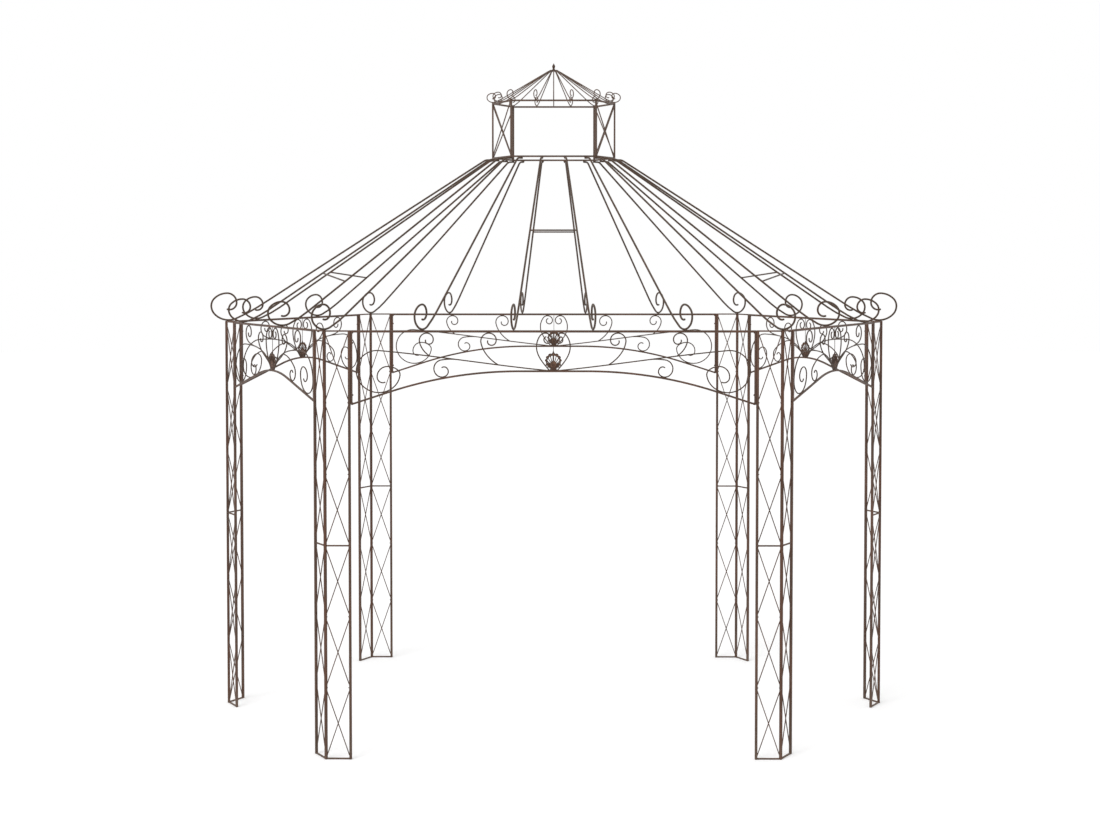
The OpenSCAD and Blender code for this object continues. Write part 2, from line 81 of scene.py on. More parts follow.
def polar(angle: float | Array, radius: float | Array = 1.0) -> Array:
    """Points of a plane at an angle in degrees and a radius."""
    a = np.radians(angle)
    return np.stack([radius * np.cos(a), radius * np.sin(a)], axis=-1)


def sin(angle: float) -> float:
    """Sine of an angle in degrees."""
    return float(np.sin(np.radians(angle)))


def cos(angle: float) -> float:
    """Cosine of an angle in degrees."""
    return float(np.cos(np.radians(angle)))


def flat(points: Array) -> Array:
    """Points of a plane as points in space, at zero along the third axis."""
    return np.append(points, np.zeros((len(points), 1)), axis=1)


def across(direction: Array) -> Array:
    """A level direction at right angles to a rod, or +Y for an upright one."""
    side = np.cross(direction, UP)
    return unit(side) if np.linalg.norm(side) > 1e-9 else np.array([0.0, 1.0, 0.0])


def axes_along(direction: Array) -> Array:
    """Three directions at right angles, the last one along the given direction."""
    z, x = unit(direction), across(unit(direction))
    return np.array([x, np.cross(z, x), z])


# ---- meshes as arrays ---------------------------------------------------------------------------

@dataclass
class Shape:
    """A mesh as arrays.

    Attributes:
        points: The points, n by 3.
        quads: The four point numbers of each four-sided face.
        caps: The point numbers of each other face.
        rub: How exposed each point is, from 0 to 1.
    """

    points: Array
    quads: Array
    caps: list[Array]
    rub: Array

    @staticmethod
    def rings(points: Array, rub: float | Array) -> "Shape":
        """A grid of closed rings, with a flat face over the first and the last one.

        Faces point outwards where the rings turn anticlockwise as seen from the last one.

        Args:
            points: The rings' points, n by m by 3.
            rub: Rub of the points, one value or n by m.

        Returns:
            The closed surface.
        """
        rows, count = points.shape[:2]
        caps = [np.arange(count)[::-1], np.arange(count) + (rows - 1) * count]
        return Shape(points.reshape(-1, 3), grid_quads(rows, count), caps,
                     np.array(np.broadcast_to(rub, (rows, count))).ravel())

    def placed(self, origin: Array, axes: Array) -> "Shape":
        """Puts the shape at an origin, with the rows of axes as its x, y and z directions."""
        return Shape(np.asarray(origin) + self.points @ np.asarray(axes), self.quads, self.caps, self.rub)

    def moved(self, offset: Array, size: float = 1.0) -> "Shape":
        """The shape scaled about the origin and moved by the offset."""
        return Shape(self.points * size + offset, self.quads, self.caps, self.rub)

    def flipped(self) -> "Shape":
        """The shape with its faces turned the other way round."""
        return Shape(self.points, self.quads[:, ::-1], [c[::-1] for c in self.caps], self.rub)

    def triangles(self) -> int:
        """Number of triangles that the shape's faces make."""
        return 2 * len(self.quads) + sum(len(c) - 2 for c in self.caps)


def joined(shapes: list[Shape]) -> Shape:
    """Puts several shapes into one, each keeping its own faces.

    Args:
        shapes: The shapes to put together.

    Returns:
        One shape, whose face numbers are moved on by the points that come before.
    """
    starts = np.cumsum([0] + [len(s.points) for s in shapes])
    return Shape(
        np.concatenate([s.points for s in shapes]),
        np.concatenate([s.quads + n for s, n in zip(shapes, starts)]),
        [c + n for s, n in zip(shapes, starts) for c in s.caps],
        np.concatenate([s.rub for s in shapes]),
    )


def repeated(shape: Shape, places: Array) -> Shape:
    """Copies of a small shape, one at each place."""
    return joined([shape.moved(place) for place in np.asarray(places, float).reshape(-1, 3)])


def grid_quads(rows: int, columns: int, closed: bool = False) -> Array:
    """Faces of a grid of points that are numbered row by row, where each row is a closed ring.

    Args:
        rows: Number of rows.
        columns: Number of points in a row.
        closed: Whether the last row joins the first.

    Returns:
        The four point numbers of each face.
    """
    i = np.arange(rows if closed else rows - 1)[:, None]
    j = np.arange(columns)[None, :]
    nxt_i, nxt_j = (i + 1) % rows, (j + 1) % columns
    corners = [i * columns + j, i * columns + nxt_j, nxt_i * columns + nxt_j, nxt_i * columns + j]
    return np.stack([np.broadcast_to(c, (i.size, j.size)).ravel() for c in corners], axis=1)


# ---- sections and what is carried along a path --------------------------------------------------

@dataclass(frozen=True)
class Section:
    """A closed outline, anticlockwise.

    Attributes:
        outline: Its points.
        rub: Rub of each of them.
        nose: How it ends: how far each ring steps out along the path, and how much it shrinks.
    """

    outline: Array
    rub: Array
    nose: tuple[tuple[float, float], ...]

    @staticmethod
    def round(diameter: float, sides: int = 12, rub: float = 0.35) -> "Section":
        """A round rod: point j stands at the radius and the j-th share of a turn; its end is a dome.

        Args:
            diameter: Thickness of the rod.
            sides: Number of its points.
            rub: Rub all round.

        Returns:
            The section.
        """
        turn = np.linspace(0, 360, sides, endpoint=False) + 180 / sides
        nose = tuple((0.6 * diameter / 2 * sin(a), cos(a)) for a in (35, 62, 82))
        return Section(polar(turn, diameter / 2), np.full(sides, rub), nose)

    @staticmethod
    def square(side: float, corner: float, steps: int = 3) -> "Section":
        """A square bar whose corners are quarter circles; the rub is one there and less at their ends.

        Args:
            side: Width of the bar.
            corner: Radius of its corners.
            steps: Number of flats that a corner is made of.

        Returns:
            The section, whose end is eased by about the corner's radius.
        """
        bend = np.linspace(0, 90, steps + 1)
        centre = (side / 2 - corner) * np.sqrt(2)
        outline = np.concatenate([polar(45 + turn, centre) + polar(turn + bend, corner)
                                  for turn in (0, 90, 180, 270)])
        ease = corner / side
        nose = ((0.35 * corner, 1 - 0.12 * ease), (0.8 * corner, 1 - 0.75 * ease), (corner, 1 - 1.9 * ease))
        return Section(outline, np.tile(1 - 0.75 * np.abs(bend / 45 - 1), 4), nose)


END_RUB = 1.6                    # how much more than its length an end is rubbed


def sweep(path: Array, section: Section, normal: Array, scale: Array | float = 1.0) -> Shape:
    """Carries a section along a path.

    Point (i, j) is path_i + x_j * side_i + y_j * normal, where side_i is the path's direction at i
    crossed with the normal. Both ends get the section's nose, as rings that step out along the path
    and shrink, and a small flat face closes each.

    Args:
        path: Points of the middle line, n by 3.
        section: The outline that is carried.
        normal: The direction that the outline's y keeps, at right angles to the path.
        scale: Size of the section along the path, one value or one for each point.

    Returns:
        The closed surface.
    """
    path, normal = np.asarray(path, float), unit(normal)
    along = unit(np.gradient(path, axis=0))
    size = np.array(np.broadcast_to(np.asarray(scale, float), (len(path),)))
    step = np.array([s for s, _ in section.nose])[:, None]
    shrink = np.array([k for _, k in section.nose])
    ends = np.full(len(step), END_RUB)
    rub = np.concatenate([ends, np.ones(len(path)), ends])
    path = np.concatenate([path[0] - along[0] * step[::-1] * size[0], path,
                           path[-1] + along[-1] * step * size[-1]])
    size = np.concatenate([shrink[::-1] * size[0], size, shrink * size[-1]])
    along = np.concatenate([np.repeat(along[:1], len(step), 0), along, np.repeat(along[-1:], len(step), 0)])
    side = unit(np.cross(along, normal))
    x, y = section.outline[:, 0], section.outline[:, 1]
    ring = x[None, :, None] * side[:, None, :] + y[None, :, None] * normal
    points = path[:, None, :] + size[:, None, None] * ring
    return Shape.rings(points, np.clip(rub[:, None] * section.rub[None, :], 0, 1)).flipped()


def straight(start: Array, end: Array, section: Section, normal: Array, pieces: int = 1) -> Shape:
    """A straight bar whose noses lie inside its length.

    Args:
        start: Middle of one end.
        end: Middle of the other end.
        section: The bar's outline.
        normal: The direction that the outline's y keeps.
        pieces: Number of lengths that it is cut into.

    Returns:
        The closed bar.
    """
    start, end = np.asarray(start, float), np.asarray(end, float)
    lead = unit(end - start) * section.nose[-1][0]
    t = np.linspace(0, 1, pieces + 1)[:, None]
    return sweep((start + lead) * (1 - t) + (end - lead) * t, section, normal)


def lathe(profile: Array, sides: int = 24, rub: float = 0.5) -> Shape:
    """Turns a profile about the Z axis: point (i, j) stands at radius i and height i, at the j-th turn.

    Args:
        profile: The (radius, height) points.
        sides: Number of turns.
        rub: Rub all over.

    Returns:
        The closed surface.
    """
    turn = polar(np.linspace(0, 360, sides, endpoint=False))
    profile = np.asarray(profile, float)
    height = np.broadcast_to(profile[:, 1:, None], (len(profile), sides, 1))
    return Shape.rings(np.concatenate([profile[:, :1, None] * turn[None], height], axis=2), rub)


def bead(radius: float) -> Shape:
    """A weld bead: a ball of a few faces, with a ring every 37 degrees of height."""
    return lathe(polar(np.array([-74.0, -37.0, 0.0, 37.0, 74.0]), radius), 8, 0.2)


@dataclass(frozen=True)
class Bolt:
    """A hexagon bolt with a washer under its head.

    Attributes:
        across_flats: Width of the head.
        head: Height of the head.
        washer: Diameter of the washer.
        sheet: Thickness of the washer.
    """

    across_flats: float = 0.0075
    head: float = 0.0032
    washer: float = 0.011
    sheet: float = 0.0012

    def at(self, place: Array, direction: Array) -> Shape:
        """The bolt with its washer against a surface.

        Args:
            place: Where it sits.
            direction: Where its chamfered head points.

        Returns:
            Washer and head as one shape.
        """
        r, w, h, t = self.across_flats / np.sqrt(3), self.washer / 2, self.head, self.sheet
        disc = lathe([(w * 0.2, 0), (w - 0.0003, 0), (w, 0.0003), (w, t - 0.0003), (w - 0.0004, t),
                      (w * 0.2, t)], 16, 0.5)
        nut = lathe([(r * 0.5, t - 0.0003), (r, t - 0.0003), (r, t + h * 0.8), (r * 0.86, t + h),
                     (r * 0.3, t + h)], 6, 0.7)
        return joined([disc, nut]).placed(place, axes_along(direction))


# ---- curves of the wires ------------------------------------------------------------------------

Arc = tuple[float, float]        # radius and how far it turns, in degrees, to the left if positive


def arc_points(centre: Array, start: float, arc: Arc, step: float) -> Array:
    """Points of one arc about a centre, from a start angle, without its first point."""
    n = max(2, int(np.ceil(abs(arc[1]) / step)))
    return centre + polar(start + arc[1] * np.arange(1, n + 1) / n, arc[0])


def curl_points(centre: Array, start: float, arcs: list[Arc], step: float = 7.0) -> Array:
    """A curl: arcs that run into one another, the first about the given centre.

    Where the radius changes, the centre moves along the line to the last point, so the direction
    stays.

    Args:
        centre: Centre of the first arc.
        start: Angle at which it starts.
        arcs: Radius and turn of each arc.
        step: Largest turn between two points.

    Returns:
        The points after the start.
    """
    found = []
    for k, (radius, turn) in enumerate(arcs):
        found.append(arc_points(centre, start, (radius, turn), step))
        start += turn
        if k + 1 < len(arcs):
            centre = centre + polar(start, radius - arcs[k + 1][0])
    return np.concatenate(found)


@dataclass(frozen=True)
class Stem:
    """A wire that leaves a foot along one angle and runs smoothly into a curl.

    Attributes:
        foot: Where it starts, along and up.
        leave: Angle at which it leaves.
        centre: Centre of the curl's first arc.
        start: Angle at which that arc starts.
        arcs: The curl's arcs, all turning the same way.
    """

    foot: Array
    leave: float
    centre: Array
    start: float
    arcs: list[Arc]

    def at(self, t: float | Array) -> Array:
        """Point of the stem's cubic curve, whose handles are a third of its reach.

        Args:
            t: Part of the way along it, from 0 to 1.

        Returns:
            The point, or one for each t.
        """
        end = self.centre + polar(self.start, self.arcs[0][0])
        arrive = self.start + 90 * np.sign(self.arcs[0][1])
        reach = np.linalg.norm(end - self.foot) / 3
        near, far = self.foot + polar(self.leave, reach), end - polar(arrive, reach)
        t = np.asarray(t, float)[..., None]
        return ((1 - t) ** 3 * self.foot + 3 * t * (1 - t) ** 2 * near
                + 3 * t ** 2 * (1 - t) * far + t ** 3 * end)

    def points(self, count: int = 36) -> Array:
        """The whole wire: the stem, in that many points, then the curl."""
        curl = curl_points(self.centre, self.start, self.arcs)
        return np.concatenate([self.at(np.linspace(0, 1, count)), curl])


def scaled(radius: float, arcs: list[Arc]) -> list[Arc]:
    """Arcs whose radii are shares of one radius."""
    return [(radius * r, turn) for r, turn in arcs]


def small_curl(radius: float, turn: int = 1) -> list[Arc]:
    """The small curl that the stems carry, rolling in to the left or, with -1, to the right."""
    return scaled(radius, [(1, turn * 130), (0.84, turn * 80), (0.56, turn * 110), (0.4, turn * 70)])


# ---- where things stand -------------------------------------------------------------------------

class Bay(Enum):
    """The six open bays, anticlockwise from above, each starting at the corner of the same number."""

    FRONT = 0
    RIGHT_FRONT = 1
    RIGHT_BACK = 2
    BACK = 3
    LEFT_BACK = 4
    LEFT_FRONT = 5

    @property
    def title(self) -> str:
        """The bay's name in node names."""
        return self.name.lower()

    @property
    def long(self) -> bool:
        """Whether it is the front or the back bay."""
        return self.value % 3 == 0

    @property
    def tip_side(self) -> int:
        """For an end bay, 1 where it ends at a side corner and -1 where it starts at one."""
        return 1 if self.value % 3 == 1 else -1


CORNERS = ("front_left", "front_right", "right", "back_right", "back_left", "left")
SIDE_CORNERS = (2, 5)


@dataclass(frozen=True)
class Bar:
    """The thickness of the bars, rods and wires.

    Attributes:
        coat: What the coat adds to the thickness of a round one.
        lattice_coat: What it adds to a wire of the lattice.
        seat: How far a piece is let into the one that it stands on.
    """

    upright: float = 0.014
    rail: float = 0.008
    lattice_wire: float = 0.004
    top_bar: float = 0.012
    arch_bar: float = 0.010
    scroll_wire: float = 0.006
    rafter: float = 0.010
    tie: float = 0.008
    lantern: float = 0.010
    brace: float = 0.006
    rib: float = 0.005
    coat: float = 0.0009
    lattice_coat: float = 0.0016
    seat: float = 0.0003


@dataclass
class Plan:
    """A six-sided plan: its corners, and the directions along and across each side."""

    corners: Array

    @staticmethod
    def hexagon(front: float, half_depth: float, tip: float) -> "Plan":
        """The plan whose front side is that long, with its two side corners at the tips."""
        x, y = np.array([-front / 2, front / 2, tip]), half_depth * np.array([-1, -1, 0])
        return Plan(np.stack([np.append(x, -x), np.append(y, -y)], axis=1))

    def start(self, bay: Bay) -> Array:
        """The corner that the bay starts at."""
        return self.corners[bay.value]

    def end(self, bay: Bay) -> Array:
        """The corner that the bay ends at."""
        return self.corners[(bay.value + 1) % 6]

    def along(self, bay: Bay) -> Array:
        """Level direction along the bay, in three dimensions."""
        return np.append(unit(self.end(bay) - self.start(bay)), 0.0)

    def inward(self, bay: Bay) -> Array:
        """Level direction into the pavilion, at right angles to the bay."""
        return np.cross(UP, self.along(bay))

    def length(self, bay: Bay) -> float:
        """Length of the bay from corner to corner."""
        return float(np.linalg.norm(self.end(bay) - self.start(bay)))

    def side_point(self, bay: Bay, u: float) -> Array:
        """Plan point at a distance u from the middle of the bay."""
        return (self.start(bay) + self.end(bay)) / 2 + u * self.along(bay)[:2]

    def upright(self, bay: Bay, points: Array, inset: float | Array = 0.0) -> Array:
        """Stands points in the bay's upright plane.

        Args:
            bay: The bay.
            points: Points as (along, up) from the middle of the bay, at the ground.
            inset: How far they are moved into the pavilion.

        Returns:
            The points in space: the middle + along * a + up * z + inset * the inward direction.
        """
        points = np.asarray(points, float)
        middle = np.append(self.side_point(bay, 0.0), 0.0)
        inset = np.broadcast_to(np.asarray(inset, float), points.shape[:-1])[..., None]
        return middle + points[..., :1] * self.along(bay) + points[..., 1:] * UP + inset * self.inward(bay)

    def bisector(self, corner: int) -> Array:
        """Level direction halfway between the two bays that meet at a corner."""
        return unit(self.along(Bay(corner)) + self.along(Bay((corner + 5) % 6)))


@dataclass
class Site:
    """Plans and heights that every sub-assembly shares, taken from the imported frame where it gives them.

    Attributes:
        bar: Thickness of the bars.
        lattice_w: From the middle of a post to that of a lattice side's outer bar.
        lantern: The lantern's plan.
        lantern_z: Height of the middle of its base ring.
        lantern_h: From there to the middle of its top ring.
    """

    bar: Bar = Bar()
    lattice_w: float = 0.130
    lantern: Plan = field(default_factory=lambda: Plan.hexagon(0.486, 0.262, 0.357))
    lantern_z: float = 3.223
    lantern_h: float = 0.319

    def __post_init__(self) -> None:
        """Reads the corner posts' middles and their height from the frame."""
        boxes = np.array([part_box(f"{corner}_post") for corner in CORNERS])
        self.eaves = Plan(boxes[:, :, :2].mean(axis=1))
        self.post_h = float(boxes[0, 1, 2])

    @property
    def top_bar_z(self) -> float:
        """Height of the top bars' middle line."""
        return self.post_h - self.bar.top_bar / 2

    @property
    def top_ring_z(self) -> float:
        """Height of the middle of the lantern's top ring."""
        return self.lantern_z + self.lantern_h

    def frame_half(self, bay: Bay) -> float:
        """Half the width of a bay's arch frame, between the two lattice sides."""
        return self.eaves.length(bay) / 2 - self.lattice_w - self.bar.upright / 2 - self.bar.seat


# ---- finishes -----------------------------------------------------------------------------------

def srgb(red: int, green: int, blue: int) -> tuple[float, ...]:
    """A screen colour as the linear colour that shaders take, with an alpha of one."""
    c = np.array([red, green, blue]) / 255
    return (*map(float, np.where(c <= 0.04045, c / 12.92, ((c + 0.055) / 1.055) ** 2.4)), 1.0)


class Wiring:
    """Short ways to add and join the nodes of one tree."""

    def __init__(self, tree: Tree) -> None:
        """Keeps the tree."""
        self.tree = tree

    def node(self, kind: str) -> bpy.types.Node:
        """The tree's first node of a kind."""
        return next(n for n in self.tree.nodes if n.bl_idname == kind)

    def add(self, kind: str, settings: dict[str, object] | None = None, **inputs: object) -> bpy.types.Node:
        """Adds a node.

        Args:
            kind: Its type.
            settings: Values of its properties.
            inputs: A socket or a value for each input, whose name has its spaces as underscores.

        Returns:
            The new node.
        """
        made = self.tree.nodes.new(kind)
        for name, value in (settings or {}).items():
            setattr(made, name, value)
        for name, value in inputs.items():
            self.join(value, made.inputs[name.replace("_", " ")])
        return made

    def join(self, source: object, target: Socket) -> None:
        """Links a socket to another, or sets a plain value on it.

        Args:
            source: A socket or a value.
            target: The socket that takes it.
        """
        if isinstance(source, Socket):
            self.tree.links.new(source, target)
        else:
            target.default_value = source

    def math(self, operation: str, *values: object) -> Socket:
        """Adds a Math node.

        Args:
            operation: What it works out.
            values: Up to three sockets or numbers.

        Returns:
            Its result.
        """
        made = self.add("ShaderNodeMath", {"operation": operation})
        for socket, value in zip(made.inputs, values):
            self.join(value, socket)
        return made.outputs[0]

    def split(self, vector: Socket) -> Socket:
        """The upward part of a vector."""
        return self.add("ShaderNodeSeparateXYZ", Vector=vector).outputs["Z"]

    def noise(self, vector: Socket, scale: object, detail: float, roughness: float) -> Socket:
        """The value of a Noise Texture."""
        return self.add("ShaderNodeTexNoise", Vector=vector, Scale=scale, Detail=detail,
                        Roughness=roughness).outputs["Fac"]

    def smooth(self, value: Socket, low: float, high: float) -> Socket:
        """A smooth step from zero at low to one at high."""
        return self.add("ShaderNodeMapRange", {"interpolation_type": "SMOOTHSTEP"}, Value=value,
                        From_Min=low, From_Max=high).outputs["Result"]

    def mix(self, mask: Socket, first: object, second: object) -> Socket:
        """One colour turned into another by a mask.

        Args:
            mask: Zero for the first colour, one for the second.
            first: A colour or a colour socket.
            second: Another.

        Returns:
            The mixed colour.
        """
        made = self.add("ShaderNodeMix", {"data_type": "RGBA"}, Factor=mask)
        for socket, value in zip([s for s in made.inputs if s.type == "RGBA"], (first, second)):
            self.join(value, socket)
        return next(s for s in made.outputs if s.type == "RGBA")

    def seen(self) -> Socket:
        """One for rays from the camera and for rays that a surface mirrors, zero for light."""
        rays = self.add("ShaderNodeLightPath")
        return self.math("MAXIMUM", rays.outputs["Is Camera Ray"], rays.outputs["Is Glossy Ray"])

    def use(self, group: Tree, **inputs: object) -> bpy.types.NodeOutputs:
        """The outputs of a group node whose inputs are joined or set."""
        return self.add("ShaderNodeGroup", {"node_tree": group}, **inputs).outputs


class NodeBook:
    """The node groups that the finishes share, each built once."""

    def __init__(self) -> None:
        """Builds the four groups."""
        self.mottle, self.rub = self.make_mottle(), self.make_rub()
        self.dust, self.grain = self.make_dust(), self.make_grain()

    @staticmethod
    def start(name: str, inputs: dict[str, object],
              outputs: tuple[str, ...]) -> tuple[Wiring, bpy.types.NodeOutputs, bpy.types.NodeInputs]:
        """Makes an empty group, whose first input is the place on the piece.

        Args:
            name: The group's name.
            inputs: The starting value of each further input: a number, a colour, or none for a vector.
            outputs: Names of the outputs, of which Color is a colour and the others are numbers.

        Returns:
            The group's wiring, the sockets that bring its inputs and those that take its outputs.
        """
        tree = bpy.data.node_groups.new(name, "ShaderNodeTree")
        for title, value in {"Vector": None, **inputs}.items():
            kind = "Vector" if value is None else "Color" if isinstance(value, tuple) else "Float"
            socket = tree.interface.new_socket(title, in_out="INPUT", socket_type=f"NodeSocket{kind}")
            if value is not None:
                socket.default_value = value
        for title in outputs:
            kind = "Color" if title == "Color" else "Float"
            tree.interface.new_socket(title, in_out="OUTPUT", socket_type=f"NodeSocket{kind}")
        w = Wiring(tree)
        return w, w.add("NodeGroupInput").outputs, w.add("NodeGroupOutput").inputs

    def make_mottle(self) -> Tree:
        """Uneven colour of a sprayed coat: broad drifts drawn out up and down, and fine flecks in them.

        Returns:
            The group.
        """
        w, given, out = self.start("coat_mottle", {
            "Deep": srgb(60, 45, 38), "Warm": srgb(96, 66, 54), "Drift": 7.0, "Fleck": 160.0, "Warmth": 0.5},
            ("Color",))
        stretched = w.add("ShaderNodeVectorMath", {"operation": "MULTIPLY"})
        w.join(given["Vector"], stretched.inputs[0])
        w.join((1.0, 1.0, 0.4), stretched.inputs[1])
        drift = w.noise(stretched.outputs[0], given["Drift"], 3.0, 0.55)
        fleck = w.noise(given["Vector"], given["Fleck"], 2.0, 0.6)
        mixed = w.math("MULTIPLY_ADD", fleck, 0.35, w.math("MULTIPLY", drift, 0.65))
        lifted = w.math("ADD", mixed, w.math("SUBTRACT", given["Warmth"], 0.5))
        w.join(w.mix(w.smooth(lifted, 0.38, 0.64), given["Deep"], given["Warm"]), out["Color"])
        return w.tree

    def make_rub(self) -> Tree:
        """Where handling has polished the coat: the rub of the edge, broken up by a noise.

        Returns:
            The group.
        """
        w, given, out = self.start("edge_rub", {"Edge": 0.0, "Amount": 0.5, "Scale": 45.0}, ("Mask",))
        broken = w.noise(given["Vector"], given["Scale"], 4.0, 0.65)
        raised = w.math("ADD", given["Edge"], w.math("MULTIPLY_ADD", broken, 1.6, -0.8))
        w.join(w.math("MULTIPLY", w.smooth(raised, 0.62, 1.05), given["Amount"]), out["Mask"])
        return w.tree

    def make_dust(self) -> Tree:
        """Settled dust: the upward share of the surface's direction, broken up by a noise, and more of
        it near the ground.

        Returns:
            The group.
        """
        w, given, out = self.start("settled_dust", {"Normal": None, "Amount": 0.3}, ("Mask",))
        patches = w.noise(given["Vector"], 22.0, 4.0, 0.6)
        level = w.smooth(w.split(given["Normal"]), 0.35, 0.95)
        low = w.math("SUBTRACT", 1.0, w.smooth(w.split(given["Vector"]), 0.0, 0.22))
        both = w.math("ADD", level, w.math("MULTIPLY", low, 0.7))
        mask = w.math("MULTIPLY", both, w.smooth(patches, 0.3, 0.7))
        w.join(w.math("MULTIPLY", mask, given["Amount"]), out["Mask"])
        return w.tree

    def make_grain(self) -> Tree:
        """Height of the coat: the orange peel of the powder over the slow waves of the drawn steel.

        Returns:
            The group.
        """
        w, given, out = self.start("coat_grain", {"Peel": 900.0, "Wave": 90.0}, ("Height", "Rough"))
        peel = w.noise(given["Vector"], given["Peel"], 2.0, 0.5)
        wave = w.noise(given["Vector"], given["Wave"], 3.0, 0.6)
        w.join(w.math("MULTIPLY_ADD", wave, 0.6, w.math("MULTIPLY", peel, 0.4)), out["Height"])
        w.join(w.smooth(wave, 0.3, 0.75), out["Rough"])
        return w.tree


DUST = (150, 138, 124)           # colour of settled dust


@dataclass(frozen=True)
class PowderCoat:
    """Satin powder coat on steel or cast iron.

    Attributes:
        slot: The record's material slot that it finishes.
        deep: The coat where it lies thick.
        warm: The coat where it is thin and the red undercoat shows.
        worn: The coat where hands have polished it.
        warmth: Share of the surface that is warm.
        drift: How many broad drifts there are to a metre.
        rough: Roughness of the clean coat.
        gleam: How strongly the coat mirrors, half being the strength of plain gloss.
        dust: How much dust has settled.
        rub: How much the edges are worn.
        relief: Height of the grain.
    """

    slot: Slot
    deep: Screen
    warm: Screen
    worn: Screen
    warmth: float = 0.4
    drift: float = 7.0
    rough: float = 0.5
    gleam: float = 0.3
    dust: float = 0.25
    rub: float = 0.35
    relief: float = 0.00035

    def material(self, book: NodeBook) -> bpy.types.Material:
        """Makes the material.

        Args:
            book: The groups that all coats share.

        Returns:
            A material that reads Object coordinates and the rub attribute.
        """
        made = bpy.data.materials.new(f"{self.slot.value}_coat")
        made.use_nodes = True
        made.diffuse_color = srgb(*self.deep)
        w = Wiring(made.node_tree)
        place = w.add("ShaderNodeTexCoord").outputs["Object"]
        edge = w.add("ShaderNodeAttribute", {"attribute_name": RUB, "attribute_type": "GEOMETRY"})
        normal = w.add("ShaderNodeNewGeometry").outputs["Normal"]
        mottle = w.use(book.mottle, Vector=place, Deep=srgb(*self.deep), Warm=srgb(*self.warm),
                       Drift=self.drift, Warmth=self.warmth)["Color"]
        rub = w.use(book.rub, Vector=place, Edge=edge.outputs["Fac"], Amount=self.rub)["Mask"]
        dust = w.use(book.dust, Vector=place, Normal=normal, Amount=self.dust)["Mask"]
        grain = w.use(book.grain, Vector=place)
        clean = w.math("MULTIPLY_ADD", grain["Rough"], 0.14, self.rough - 0.07)
        polished = w.math("MULTIPLY_ADD", rub, -0.16, clean)
        bump = w.add("ShaderNodeBump", Strength=0.6, Distance=self.relief, Height=grain["Height"])
        shader = w.node("ShaderNodeBsdfPrincipled").inputs
        w.join(w.mix(dust, w.mix(rub, mottle, srgb(*self.worn)), srgb(*DUST)), shader["Base Color"])
        w.join(w.math("MULTIPLY_ADD", dust, 0.3, polished), shader["Roughness"])
        w.join(self.gleam, shader["Specular IOR Level"])
        w.join(bump.outputs["Normal"], shader["Normal"])
        return made


COATS = (
    PowderCoat(Slot.POST, (68, 48, 36), (88, 58, 43), (116, 85, 63), warmth=0.55, rub=0.45),
    PowderCoat(Slot.LATTICE, (76, 57, 46), (96, 68, 54), (120, 91, 72), warmth=0.5),
    PowderCoat(Slot.FRAME, (76, 57, 46), (96, 67, 53), (122, 93, 73), warmth=0.45, rub=0.45),
    PowderCoat(Slot.SCROLLWORK, (64, 47, 35), (80, 55, 42), (108, 83, 63), drift=11.0, relief=0.00025),
    PowderCoat(Slot.ORNAMENT, (60, 40, 28), (84, 54, 39), (122, 89, 67), drift=24.0, rough=0.56, rub=0.7,
               dust=0.35, relief=0.0006),
    PowderCoat(Slot.RAFTER, (68, 52, 40), (86, 61, 47), (110, 86, 67)),
    PowderCoat(Slot.LANTERN, (85, 67, 56), (105, 78, 64), (127, 101, 82), warmth=0.42, rub=0.4),
)


# ---- putting pieces into the scene --------------------------------------------------------------

def linked(name: str, data: bpy.types.ID) -> bpy.types.Object:
    """Puts a new object into the scene.

    Args:
        name: Its name.
        data: Its mesh, lamp or camera.

    Returns:
        The object.
    """
    made = bpy.data.objects.new(name, data)
    bpy.context.scene.collection.objects.link(made)
    return made


def mesh_of(name: str, shape: Shape) -> bpy.types.Mesh:
    """Makes a smooth mesh from a shape's arrays.

    Args:
        name: The mesh's name.
        shape: Its points, faces and rub.

    Returns:
        The new mesh.
    """
    mesh = bpy.data.meshes.new(name)
    sizes = np.array([4] * len(shape.quads) + [len(c) for c in shape.caps], np.int32)
    corners = np.concatenate([shape.quads.ravel(), *shape.caps]).astype(np.int32)
    mesh.vertices.add(len(shape.points))
    mesh.vertices.foreach_set("co", shape.points.astype(np.float32).ravel())
    mesh.loops.add(len(corners))
    mesh.loops.foreach_set("vertex_index", corners)
    mesh.polygons.add(len(sizes))
    mesh.polygons.foreach_set("loop_start", (np.cumsum(sizes) - sizes).astype(np.int32))
    mesh.polygons.foreach_set("use_smooth", np.ones(len(sizes), bool))
    mesh.update(calc_edges=True)
    if mesh.validate():
        LOG.warning("%s had faces that needed mending", name)
    mesh.attributes.new(RUB, "FLOAT", "POINT").data.foreach_set("value", shape.rub.astype(np.float32))
    return mesh


class Workshop:
    """Turns shapes into the scene's pieces, dressed and riding on the pavilion."""

    def __init__(self) -> None:
        """Makes one material for each slot."""
        book = NodeBook()
        self.coats = {coat.slot: coat.material(book) for coat in COATS}
        self.triangles = 0

    def place(self, name: str, shape: Shape, slot: Slot, node: str) -> None:
        """Makes a piece from a shape, at the origin, and reports it.

        Args:
            name: The piece's name.
            shape: Its points and faces.
            slot: The material slot that it takes.
            node: The frame's node that it stands for.
        """
        mesh = mesh_of(name, shape)
        mesh.materials.append(self.coats[slot])
        piece = linked(name, mesh)
        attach(piece, "root")
        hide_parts(node)
        self.triangles += shape.triangles()
        LOG.info("%-38s %6d triangles, for %s", name, shape.triangles(), node)


# ---- columns ------------------------------------------------------------------------------------

